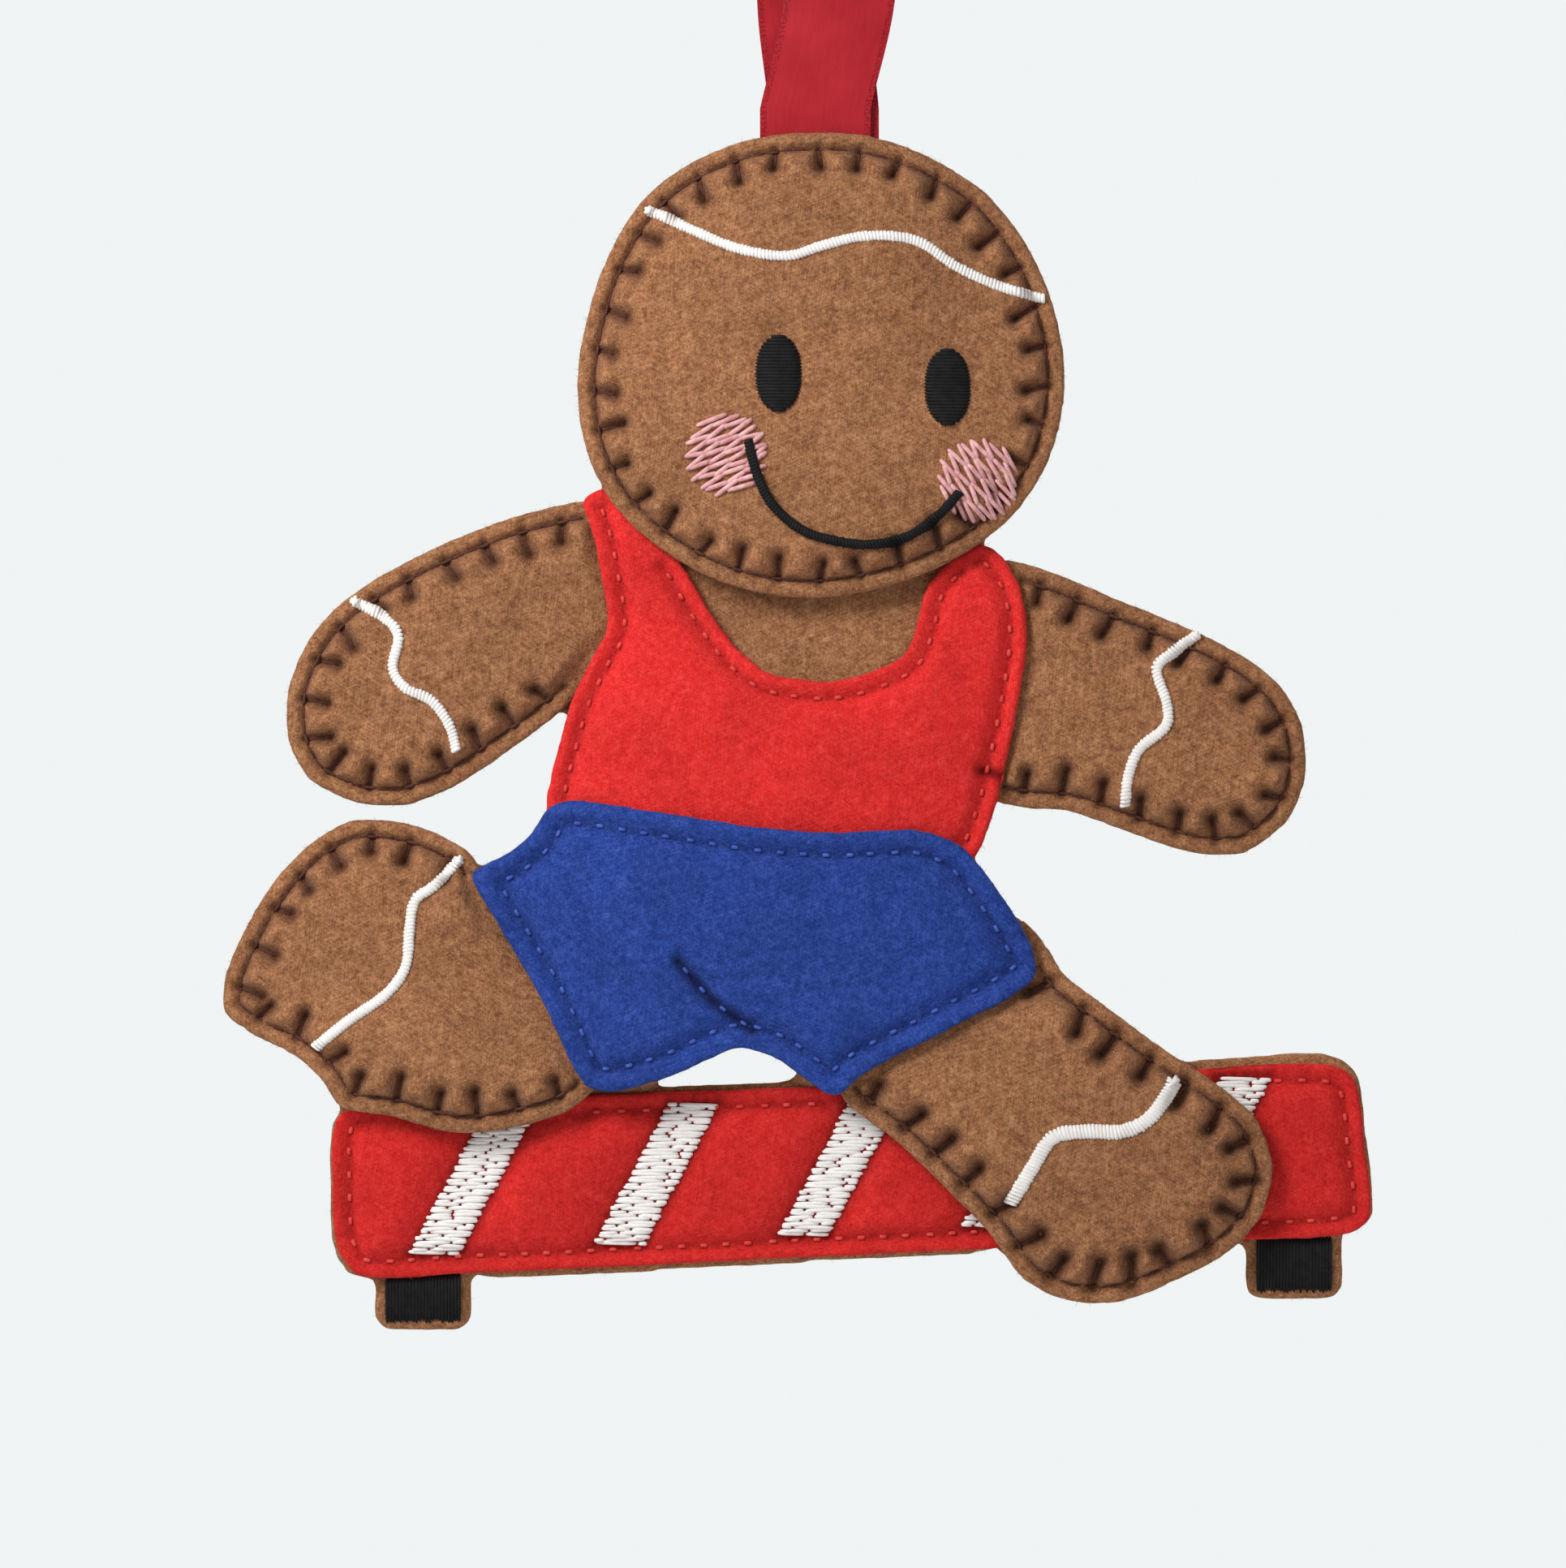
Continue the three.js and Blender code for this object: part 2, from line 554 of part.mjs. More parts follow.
const edged = ['head', ...Object.keys(arms), ...Object.keys(legs)];
for (const name of edged) {
  const [run] = visibleRuns(felt[name].line, BLANKET_INSET, name === 'head' ? [] : [vest, shorts, head]);
  add(figure, `${name}_blanket_stitch`, blanket(run, felt[name]), DARK_BROWN, MATT);
}

// Running stitch, in as many runs as show
function runningStitch(name, distance, covers, colour) {
  visibleRuns(felt[name].line, distance, covers).forEach(({ path, closed }, i) => {
    const whole = closed ? [...path, path[0].clone().lerp(path.at(-1), 0.5)] : path;
    const thread = band(whole, THREAD_WIDTH, onTop(felt[name]), THREAD_HEIGHT);
    add(figure, `${name}_stitch_${i + 1}`, thread, colour, MATT);
  });
}

runningStitch('vest', RUNNING_INSET, [head, shorts], DEEP_RED);
runningStitch('shorts', SHORTS_INSET, [], DEEP_BLUE);
runningStitch('board', RUNNING_INSET, [...Object.values(legs), shorts], DEEP_RED);
const seam = band(SHORTS_SEAM.map(point), THREAD_WIDTH, onTop(felt.shorts), THREAD_HEIGHT);
add(figure, 'shorts_centre_seam', seam, DEEP_BLUE, MATT);

// Face
const onFace = overStitch(felt.head);

function satinPatch(name, line, back, colour) {
  add(figure, name, slab(sheet(line), back, (p) => back(p) + SATIN_HEIGHT), colour, SHEEN);
}

const cheeks = [LEFT_CHEEK, RIGHT_CHEEK].map((at) => ellipse(at, CHEEK_WIDTH, CHEEK_HEIGHT));
satinPatch('left_eye', ellipse(LEFT_EYE, EYE_WIDTH, EYE_HEIGHT), onFace, BLACK);
satinPatch('right_eye', ellipse(RIGHT_EYE, EYE_WIDTH, EYE_HEIGHT), onFace, BLACK);
satinPatch('left_cheek', cheeks[0], onFace, PINK);
satinPatch('right_cheek', cheeks[1], onFace, PINK);
const overCheeks = (p) => onFace(p) + raised(p, cheeks, SATIN_HEIGHT + PLY_GAP, SHORT_LAP, LAP);
add(figure, 'smile', band(SMILE.map(point), SMILE_WIDTH, overCheeks, SATIN_HEIGHT), BLACK, SHEEN);

// Icing lines
for (const name of edged) {
  const line = band(ICING[name].map(point), ICING_WIDTH, overStitch(felt[name]), SATIN_HEIGHT);
  add(figure, `${name}_icing`, line, WHITE, SHEEN);
}

// White stripes on the board, inside its stitching; the legs lie over them
const boardBox = new THREE.Box2().setFromPoints(board);
const lean = Math.tan(THREE.MathUtils.degToRad(STRIPE_SLANT));
const stripeBack = seat(0) + FELT + PLY_GAP;
const stripeDepth = [stripeBack, stripeBack + SATIN_HEIGHT];
const stitchedIn = solid(prism(inset(board, RUNNING_INSET + THREAD_WIDTH / 2 + PLY_GAP), ...stripeDepth));
const boardRise = (boardBox.max.y - boardBox.min.y) / 2;
const boardMiddle = (boardBox.max.y + boardBox.min.y) / 2;
for (let i = 0; i < STRIPE_COUNT; i += 1) {
  const middle = FIRST_STRIPE + i * STRIPE_PITCH;
  const corners = [[-1, -1], [1, -1], [1, 1], [-1, 1]].map(([side, end]) => point([
    middle + (side * STRIPE_WIDTH) / 2 + end * boardRise * lean,
    boardMiddle + end * boardRise,
  ]));
  const stripe = solid(prism(corners, ...stripeDepth)).intersect(stitchedIn);
  add(figure, `board_stripe_${i + 1}`, meshOf(stripe), WHITE, SHEEN);
}

// Black feet, sewn on the tabs of the back felt up to the board's edge
const footDepth = [backDepth[1] + PLY_GAP, backDepth[1] + PLY_GAP + SATIN_HEIGHT];
const boardCut = solid(prism(inset(board, -PLY_GAP), ...footDepth));
for (const [name, at] of Object.entries(feet)) {
  const block = solid(prism(footBox(at, 0), ...footDepth)).subtract(boardCut);
  add(figure, name, meshOf(block), BLACK, SHEEN);
}

// Ribbon: its two ends lie together behind the head, up to a rounded top on the axis they swing about
const tailShape = new THREE.Shape();
tailShape.moveTo(-RIBBON_THICKNESS, -TAIL_LENGTH);
tailShape.lineTo(RIBBON_THICKNESS, -TAIL_LENGTH);
tailShape.absarc(0, HINGE_RISE, RIBBON_THICKNESS, 0, Math.PI);
const tailSolid = new THREE.ExtrudeGeometry(tailShape, {
  depth: RIBBON_WIDTH,
  bevelEnabled: false,
  curveSegments: 2 * CORNER_STEPS,
});
const tailDepth = seat(0) + RIBBON_THICKNESS;
tailSolid.rotateX(Math.PI / 2).rotateZ(Math.PI / 2).translate(-half, -tailDepth, 0);
add(figure, 'ribbon_tail', tailSolid, CRIMSON, SHEEN);

// Its legs start just above that axis and part towards a round bend at the top
const legLength = RIBBON_LENGTH / 2 - TAIL_LENGTH - HINGE_RISE - (Math.PI / 2) * BEND_RADIUS;
const plyOffset = (RIBBON_THICKNESS + HINGE_GAP) / 2;
const legRise = Math.sqrt(legLength ** 2 - (BEND_RADIUS - plyOffset) ** 2);
const loopRun = legRise + (Math.PI / 2) * BEND_RADIUS;
const bendCentre = RIBBON_THICKNESS / 2 - BEND_RADIUS;
const hinge = bendCentre - legRise;

// A point on the ribbon's middle line: side -1 is the front ply, +1 the back ply; the run is 0 at the
// hinge and loopRun at the top of the loop
function ribbonStation(side, run) {
  const height = run / loopRun;
  const sway = (side < 0 ? FRONT_LEAN : BACK_LEAN) * Math.sin(Math.PI * height) * (1 - height);
  if (run <= legRise) {
    const out = plyOffset + (BEND_RADIUS - plyOffset) * smoothstep(run / legRise, 0, 1);
    return new THREE.Vector3(sway, side * out, hinge + run);
  }
  const angle = (run - legRise) / BEND_RADIUS;
  const out = BEND_RADIUS * Math.cos(angle);
  return new THREE.Vector3(sway, side * out, bendCentre + BEND_RADIUS * Math.sin(angle));
}

// A strip of ribbon through stations, cut level at its two ends
function strip(stations) {
  const position = [];
  stations.forEach((at, i) => {
    const before = stations[Math.max(i - 1, 0)];
    const after = stations[Math.min(i + 1, stations.length - 1)];
    const end = i === 0 || i === stations.length - 1;
    const [dy, dz] = end ? [0, Math.sign(after.z - before.z)] : [after.y - before.y, after.z - before.z];
    const reach = RIBBON_THICKNESS / 2 / Math.hypot(dy, dz);
    for (const [x, face] of [[-half, 1], [half, 1], [half, -1], [-half, -1]]) {
      position.push(at.x + x, at.y + face * reach * dz, at.z - face * reach * dy);
    }
  });
  const index = [0, 1, 2, 0, 2, 3];
  const last = 4 * (stations.length - 1);
  for (let s = 0; s < last; s += 4) {
    for (let k = 0; k < 4; k += 1) {
      const a = s + k;
      const b = s + ((k + 1) % 4);
      index.push(a, a + 4, b + 4, a, b + 4, b);
    }
  }
  index.push(last, last + 2, last + 1, last, last + 3, last + 2);
  const geometry = new THREE.BufferGeometry();
  geometry.setAttribute('position', new THREE.Float32BufferAttribute(position, 3));
  geometry.setIndex(index);
  return geometry;
}

const between = (a, b, steps, side) => Array.from({ length: steps + 1 }, (_, i) => (
  ribbonStation(side, a + ((b - a) * i) / steps)));
const bendStart = loopRun - BEND_REACH;
const legStart = RIBBON_THICKNESS + HINGE_GAP;
const legEnd = bendStart - HINGE_GAP;
const ribbon = new THREE.Group();
add(ribbon, 'ribbon_front_leg', strip(between(legStart, legEnd, LEG_STEPS, -1)), CRIMSON, SHEEN);
add(ribbon, 'ribbon_back_leg', strip(between(legStart, legEnd, LEG_STEPS, 1)), CRIMSON, SHEEN);
const frontHalf = between(bendStart, loopRun, BEND_STEPS, -1);
const backHalf = between(loopRun, bendStart, BEND_STEPS, 1);
add(ribbon, 'ribbon_bend', strip([...frontHalf, ...backHalf.slice(1)]), CRIMSON, SHEEN);

figure.position.set(0, tailDepth, hinge - HINGE_RISE);
const ornament = new THREE.Group();
ornament.add(figure, ribbon);

export default ornament;
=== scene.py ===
"""A padded felt gingerbread athlete astride a striped board, hung on a loop of satin ribbon."""
import json
import math
import random

import bmesh
import bpy
import numpy as np
from mathutils import Matrix, Vector, noise
from mathutils.bvhtree import BVHTree
from mathutils.kdtree import KDTree


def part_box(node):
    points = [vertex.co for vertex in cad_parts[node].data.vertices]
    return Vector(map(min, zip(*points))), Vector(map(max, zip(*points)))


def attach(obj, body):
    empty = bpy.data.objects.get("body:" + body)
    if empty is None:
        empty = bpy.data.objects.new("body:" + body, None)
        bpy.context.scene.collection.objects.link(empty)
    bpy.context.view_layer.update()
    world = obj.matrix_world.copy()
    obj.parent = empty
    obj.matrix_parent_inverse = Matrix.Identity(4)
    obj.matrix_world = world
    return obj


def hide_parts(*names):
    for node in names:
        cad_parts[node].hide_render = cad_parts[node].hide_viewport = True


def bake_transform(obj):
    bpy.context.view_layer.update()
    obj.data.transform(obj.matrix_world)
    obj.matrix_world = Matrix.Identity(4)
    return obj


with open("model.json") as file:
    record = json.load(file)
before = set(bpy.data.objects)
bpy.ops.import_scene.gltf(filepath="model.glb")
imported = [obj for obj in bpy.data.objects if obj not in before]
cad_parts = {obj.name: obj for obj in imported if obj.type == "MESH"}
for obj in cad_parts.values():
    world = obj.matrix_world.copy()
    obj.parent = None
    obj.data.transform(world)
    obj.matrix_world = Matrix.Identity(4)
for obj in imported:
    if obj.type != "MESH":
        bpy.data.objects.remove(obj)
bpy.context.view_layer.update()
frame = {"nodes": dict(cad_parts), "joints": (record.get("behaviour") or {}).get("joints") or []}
scene = bpy.context.scene
scene.view_settings.view_transform = "Standard"

# Lengths are in metres, as in the frame
MM = 0.001
TOWARDS_VIEWER = Vector((0, -1, 0))
FAR_IN_FRONT = -0.05
HEAD_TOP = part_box("head_felt")[1].z

# Felt: the grain of its meshes and the way its stuffing swells it
FELT_VOXEL = 0.5 * MM
BACK_VOXEL = 0.8 * MM
EDGE_ROUNDING = 0.32 * MM
BOARD_RIM = 0.65 * MM
RIM_REACH = 0.9 * MM
LAYER_GAP = 0.1 * MM
SEWN_BAND = 1.4 * MM
LIP = 1.2 * MM
CLOTH_SCALE = 10
CLOTH_FRAMES = 20
HOLD_REACH = 0.45 * MM
PRESSURE = {"head": 5, "left_arm": 30, "right_arm": 24, "left_leg": 22, "right_leg": 28, "vest": 14,
            "shorts": 5, "board": 30, "back": 4}
PADDED_GIVE = 1.4 * MM
CLOTHES_GIVE = 0.9 * MM
BOARD_GIVE = 1 * MM
BACK_GIVE = 0.7 * MM
LUMP_HEIGHT = 0.05 * MM
LUMP_SIZE = 1.3 * MM
PATH_STEP = 0.25 * MM

# Sewing, and how it draws the felt in
BLANKET_INSET = 1.6 * MM
BLANKET_PITCH = 3.7 * MM
TINE_LENGTH = 1.9 * MM
TINE_WIDTH = 0.45 * MM
TINE_SINK = 0.1 * MM
BLANKET_THREAD = 0.3 * MM
RUNNING_INSET = 1.6 * MM
SHORTS_INSET = 2.1 * MM
RUNNING_PITCH = 2.05 * MM
RUNNING_STITCH = 0.7 * MM
RUNNING_THREAD = 0.4 * MM
RUNNING_BOW = 0.12 * MM
BLANKET_BOW = 0.05 * MM
CRACK_DEPTH = 0.5 * MM
CRACK_REACH = 0.32 * MM
GROOVE_DEPTH = 0.55 * MM
GROOVE_REACH = 0.8 * MM
PIT_DEPTH = 0.75 * MM
PIT_REACH = 0.55 * MM
# How far the painted shade at each tine's needle hole reaches
HOLE_SHADE_REACH = 0.6 * MM
PULL = {"right_leg": 1.45, "left_leg": 1.1, "right_arm": 1.15, "left_arm": 1.05}
PUFF = 1.25 * MM
PUFF_RISE = 1.1 * MM
PUFF_FADE = 6.5 * MM

# Loose fibres
FIBRE_LENGTH = 0.42 * MM
FIBRE_WIDTH = 0.03 * MM
FRONT_FUZZ = 4.5e6
BACK_FUZZ = 1.8e6

# Embroidery
ICING_PITCH = 0.33 * MM
ICING_THREAD = 0.44 * MM
ICING_WIDTH = {"head": 0.95 * MM, "left_arm": 0.95 * MM, "right_arm": 1 * MM, "left_leg": 1 * MM,
               "right_leg": 1.35 * MM}
SMILE_WIDTH = 0.9 * MM
SATIN_BOW = 0.26 * MM
SATIN_PITCH = 0.3 * MM
SATIN_THREAD = 0.42 * MM
EYE_WIDTH = 4.3 * MM
EYE_HEIGHT = 6.9 * MM
CHEEK_WIDTH = 6.8 * MM
CHEEK_HEIGHT = 7.2 * MM
CHEEK_ROW = 0.55 * MM
CHEEK_THREAD = 0.48 * MM
CHEEK_STITCH = 1.8 * MM
CHEEK_ZIGZAG = 0.26 * MM
FOOT_DROP = 0.4 * MM
STRIPE_WIDTH = 5 * MM
STRIPE_COVER = 4.7 * MM
STRIPE_RISE = 0.9 * MM
STRIPE_ROW = 0.31 * MM
STRIPE_THREAD = 0.44 * MM
STRIPE_GAP = 0.1 * MM
STRIPE_DRAW = 0.5 * MM
STRIPE_REACH = 1.6 * MM
STRIPE_SHADE = 0.65 * MM
STRIPE_HEIGHT = 0.36 * MM
STRIPE_BOW = 0.2 * MM
CHEEK_BOW = 0.2 * MM
CHEEK_OVERLAP = 0.3 * MM
EYE_STITCH = 0.4 * MM
EYE_BOW = 0.42 * MM
FOOT_STITCH = 0.5 * MM
FOOT_BOW = 0.4 * MM
SMILE_LIFT = 0.3 * MM
SATIN_SKEW = 0.12 * MM
UNEVEN = 0.15
KNOT_LIFT = 0.15 * MM
KNOT_BOW = 0.35 * MM

# Embroidered lines in millimetres, seen from the front: x to the right, z up, from the top of the head
SMILE = [(-6.4, -28.2), (-5.6, -31.2), (-4.2, -33.9), (-1.6, -36.1), (1.5, -37.1), (4.6, -37.4),
         (7.6, -36.8), (10.2, -35.2), (12.5, -32.8)]
ICING = {
    "head": [(-15.4, -7.1), (-11, -9.2), (-7.1, -10.8), (-3, -11.4), (0.2, -10.5), (3.4, -9.7),
             (6.5, -9.6), (9.2, -10.2), (12.4, -12.3), (16.5, -14.1), (20.2, -15)],
    "left_arm": [(-42, -42.4), (-39.2, -44), (-38, -45.6), (-38.5, -48.4), (-37.4, -50.2),
                 (-35, -51.4), (-33.4, -53.6), (-32.8, -55.8)],
    "right_arm": [(34, -45.5), (31.6, -47.2), (30.4, -48.6), (31.3, -51.6), (31.2, -53.7),
                  (28.8, -55.8), (27.8, -58.4), (27.6, -60.8)],
    "left_leg": [(-32.6, -65.8), (-34.8, -68.1), (-36.5, -69.4), (-37, -72), (-37.3, -75.3),
                 (-39, -77.8), (-42.4, -80.2), (-45.4, -82.6)],
    "right_leg": [(31.8, -85.8), (29.8, -88.8), (27.2, -90.1), (24, -90.1), (21, -90.6),
                  (19.2, -93.2), (17.2, -96.6)],
}
SHORTS_SEAM = [(-12.7, -74.9), (-10.4, -77.6), (-8.6, -79.2), (-6, -81)]
VEST_NOTCH = [(14.6, -57.7), (15.8, -58), (17.2, -58.5)]

# Ribbon: the same loop as the solid one
RIBBON_WIDTH = 10 * MM
RIBBON_THICKNESS = 0.3 * MM
SELVAGE = 0.6 * MM
RIBBON_TAIL = 12 * MM
BEND_RADIUS = 4.6 * MM
BEND_CENTRE = -4.425 * MM
PLY_OFFSET = 0.325 * MM
TAIL_OFFSET = 0.18 * MM
TAIL_SPREAD = 4 * MM
FRONT_LEAN = 4.6 * MM
BACK_LEAN = -1.6 * MM
RIBBON_SPLIT = 26 * MM
RIBBON_CUP = 0.7 * MM
PLY_SHIFT = 0.38 * MM
SHIFT_REACH = 9 * MM

# Camera: how the photograph frames the figure
PHOTO_CENTRE = (-3.3 * MM, -58.9 * MM)
PHOTO_HEIGHT = 142.1 * MM
FRONT_PLANE = 1 * MM
LENS = 150
SENSOR = 36


# Materials


def new_material(name, roughness):
    """A material with its nodes, links and shader."""
    material = bpy.data.materials.new(name)
    material.use_nodes = True
    nodes = material.node_tree.nodes
    shader = nodes["Principled BSDF"]
    shader.inputs["Roughness"].default_value = roughness
    return material, nodes, material.node_tree.links, shader


def noise_node(nodes, links, source, size, detail, roughness, distortion=0.0):
    """Cloudy noise whose spots are about a size across."""
    texture = nodes.new("ShaderNodeTexNoise")
    texture.inputs["Scale"].default_value = 1 / size
    texture.inputs["Detail"].default_value = detail
    texture.inputs["Roughness"].default_value = roughness
    texture.inputs["Distortion"].default_value = distortion
    links.new(source, texture.inputs["Vector"])
    return texture.outputs["Fac"]


def ramp_node(nodes, links, source, stops):
    """Colours picked along a value: stops are (place, colour)."""
    ramp = nodes.new("ShaderNodeValToRGB")
    elements = ramp.color_ramp.elements
    while len(elements) < len(stops):
        elements.new(0.5)
    for element, (place, colour) in zip(elements, stops):
        element.position = place
        element.color = (*colour, 1)
    links.new(source, ramp.inputs["Fac"])
    return ramp.outputs["Color"]


def math_node(nodes, links, operation, first, second):
    node = nodes.new("ShaderNodeMath")
    node.operation = operation
    for socket, value in zip(node.inputs, (first, second)):
        if isinstance(value, (int, float)):
            socket.default_value = value
        else:
            links.new(value, socket)
    return node.outputs["Value"]


def mix_node(nodes, links, blend, factor, first, second):
    """Two colours mixed; a factor or colour is a number or a socket."""
    node = nodes.new("ShaderNodeMix")
    node.data_type = "RGBA"
    node.blend_type = blend
    for socket, value in zip((node.inputs[0], node.inputs[6], node.inputs[7]), (factor, first, second)):
        if isinstance(value, (int, float)):
            socket.default_value = value
        elif isinstance(value, tuple):
            socket.default_value = (*value, 1)
        else:
            links.new(value, socket)
    return node.outputs[2]


def bump_node(nodes, links, height, distance, strength, shader):
    bump = nodes.new("ShaderNodeBump")
    bump.inputs["Distance"].default_value = distance
    bump.inputs["Strength"].default_value = strength
    links.new(height, bump.inputs["Height"])
    links.new(bump.outputs["Normal"], shader.inputs["Normal"])


def streaks(nodes, links, place, angle):
    """Noise drawn out into fine fibres that run at an angle in the felt's plane."""
    turn = nodes.new("ShaderNodeMapping")
    turn.vector_type = "TEXTURE"
    turn.inputs["Rotation"].default_value = (0, angle, 0)
    turn.inputs["Scale"].default_value = (0.13 * MM, 0.13 * MM, 1.2 * MM)
    links.new(place, turn.inputs["Vector"])
    return noise_node(nodes, links, turn.outputs["Vector"], 1.0, 2, 0.6)


def felt_finish(name, deep, middle, pale, sheen):
    """Pressed wool: mottled patches, matted fibres, and painted shade that darkens it where thread draws it
    in and under the stripes.
    """
    material, nodes, links, shader = new_material(name, 0.95)
    place = nodes.new("ShaderNodeTexCoord").outputs["Object"]
    heather = noise_node(nodes, links, place, 0.9 * MM, 5, 0.75, 0.3)
    matted = math_node(nodes, links, "MULTIPLY", heather, 0.28)
    for angle in (0.15, 1.2, 2.2):
        fibres = math_node(nodes, links, "MULTIPLY", streaks(nodes, links, place, angle), 0.24)
        matted = math_node(nodes, links, "ADD", matted, fibres)
    clouds = noise_node(nodes, links, place, 6 * MM, 2, 0.5)
    colour = ramp_node(nodes, links, matted, [(0.41, deep), (0.5, middle), (0.6, pale)])
    shade = ramp_node(nodes, links, clouds, [(0.3, (0.88, 0.88, 0.88)), (0.7, (1.06, 1.06, 1.06))])
    colour = mix_node(nodes, links, "MULTIPLY", 1.0, colour, shade)
    # Painted shade: the colour is darkened towards deep brown by the shade that draw_in and sink store per
    # point
    crease = nodes.new("ShaderNodeAttribute")
    crease.attribute_name = "crease"
    colour = mix_node(nodes, links, "MULTIPLY", crease.outputs["Fac"], colour, (0.26, 0.2, 0.19))
    links.new(colour, shader.inputs["Base Color"])
    shader.inputs["Specular IOR Level"].default_value = 0.1
    shader.inputs["Sheen Weight"].default_value = sheen
    shader.inputs["Sheen Roughness"].default_value = 0.5
    bump_node(nodes, links, matted, 0.3 * MM, 0.8, shader)
    return material


def thread_finish(name, dark, light, roughness, gloss):
    """Embroidery thread: twisted yarn with a little unevenness."""
    material, nodes, links, shader = new_material(name, roughness)
    place = nodes.new("ShaderNodeTexCoord").outputs["Object"]
    tone = noise_node(nodes, links, place, 0.8 * MM, 3, 0.6)
    ply = noise_node(nodes, links, place, 0.12 * MM, 2, 0.5, 1.0)
    colour = ramp_node(nodes, links, tone, [(0.3, dark), (0.68, light)])
    links.new(colour, shader.inputs["Base Color"])
    shader.inputs["Specular IOR Level"].default_value = gloss
    bump_node(nodes, links, ply, 0.05 * MM, 0.7, shader)
    return material


def satin_finish(name, dark, light):
    """Satin ribbon: fine lengthwise streaks and a dotted selvage, on the ribbon's own UV map."""
    material, nodes, links, shader = new_material(name, 0.5)
    uv = nodes.new("ShaderNodeUVMap")
    uv.uv_map = "ribbon"
    stretch = nodes.new("ShaderNodeMapping")
    stretch.inputs["Scale"].default_value = (1, 0.1, 1)
    links.new(uv.outputs["UV"], stretch.inputs["Vector"])
    strands = noise_node(nodes, links, stretch.outputs["Vector"], 0.3 * MM, 3, 0.6)
    cloud = noise_node(nodes, links, uv.outputs["UV"], 5 * MM, 2, 0.5)
    weave = noise_node(nodes, links, uv.outputs["UV"], 0.2 * MM, 2, 0.5)
    blend = math_node(nodes, links, "ADD", math_node(nodes, links, "MULTIPLY", strands, 0.3),
                      math_node(nodes, links, "MULTIPLY", cloud, 0.7))
    colour = ramp_node(nodes, links, blend, [(0.36, dark), (0.64, light)])
    split = nodes.new("ShaderNodeSeparateXYZ")
    links.new(uv.outputs["UV"], split.inputs["Vector"])
    edge = math_node(nodes, links, "ABSOLUTE", split.outputs["X"], 0.0)
    selvage = math_node(nodes, links, "GREATER_THAN", edge, RIBBON_WIDTH / 2 - SELVAGE)
    dots = math_node(nodes, links, "MULTIPLY", selvage, math_node(nodes, links, "GREATER_THAN", weave, 0.5))
    colour = mix_node(nodes, links, "MULTIPLY", dots, colour, (0.62, 0.5, 0.6))
    links.new(colour, shader.inputs["Base Color"])
    shader.inputs["Specular IOR Level"].default_value = 0.12
    bump_node(nodes, links, weave, 0.03 * MM, 0.6, shader)
    return material


BROWN_FELT = felt_finish("brown_felt", (0.18, 0.07, 0.031), (0.335, 0.143, 0.063), (0.51, 0.255, 0.124), 0.08)
RED_FELT = felt_finish("red_felt", (0.6, 0.017, 0.016), (0.74, 0.028, 0.026), (0.86, 0.058, 0.05), 0.05)
BOARD_FELT = felt_finish("board_felt", (0.52, 0.014, 0.013), (0.65, 0.024, 0.021), (0.77, 0.045, 0.04), 0.05)
BLUE_FELT = felt_finish("blue_felt", (0.012, 0.034, 0.19), (0.023, 0.058, 0.29), (0.05, 0.1, 0.41), 0.05)
BROWN_THREAD = thread_finish("brown_thread", (0.06, 0.02, 0.015), (0.12, 0.045, 0.032), 0.7, 0.15)
RED_THREAD = thread_finish("red_thread", (0.6, 0.033, 0.03), (0.78, 0.085, 0.07), 0.55, 0.2)
BLUE_THREAD = thread_finish("blue_thread", (0.03, 0.066, 0.34), (0.075, 0.135, 0.5), 0.55, 0.2)
BLACK_THREAD = thread_finish("black_thread", (0.005, 0.005, 0.005), (0.013, 0.012, 0.012), 0.6, 0.12)
PINK_THREAD = thread_finish("pink_thread", (0.6, 0.24, 0.25), (0.86, 0.5, 0.49), 0.45, 0.35)
WHITE_THREAD = thread_finish("white_thread", (0.86, 0.81, 0.77), (0.94, 0.91, 0.88), 0.55, 0.3)
RIBBON_SATIN = satin_finish("ribbon_satin", (0.36, 0.013, 0.02), (0.46, 0.02, 0.03))


# Paths in the figure's plane, as rows of (x, z)


def rims_of(node):
    """The edges of a felt's front, the longest first, each an ordered loop of points."""
    shape = merged(frame["nodes"][node].data)
    shape.normal_update()
    shape.edges.index_update()
    edges = {e for e in shape.edges if sum(f.normal.y < -0.3 for f in e.link_faces) == 1}
    loops = []
    while edges:
        edge = min(edges, key=lambda e: e.index)
        vert = edge.verts[0]
        loop = []
        while edge:
            edges.remove(edge)
            loop.append((vert.co.x, vert.co.z))
            vert = edge.other_vert(vert)
            edge = next((e for e in vert.link_edges if e in edges), None)
        loops.append(np.array(loop))
    shape.free()
    return sorted(loops, key=len, reverse=True)


def merged(mesh):
    """A copy of a mesh with its loose triangles joined."""
    shape = bmesh.new()
    shape.from_mesh(mesh)
    bmesh.ops.remove_doubles(shape, verts=shape.verts, dist=1e-6)
    return shape


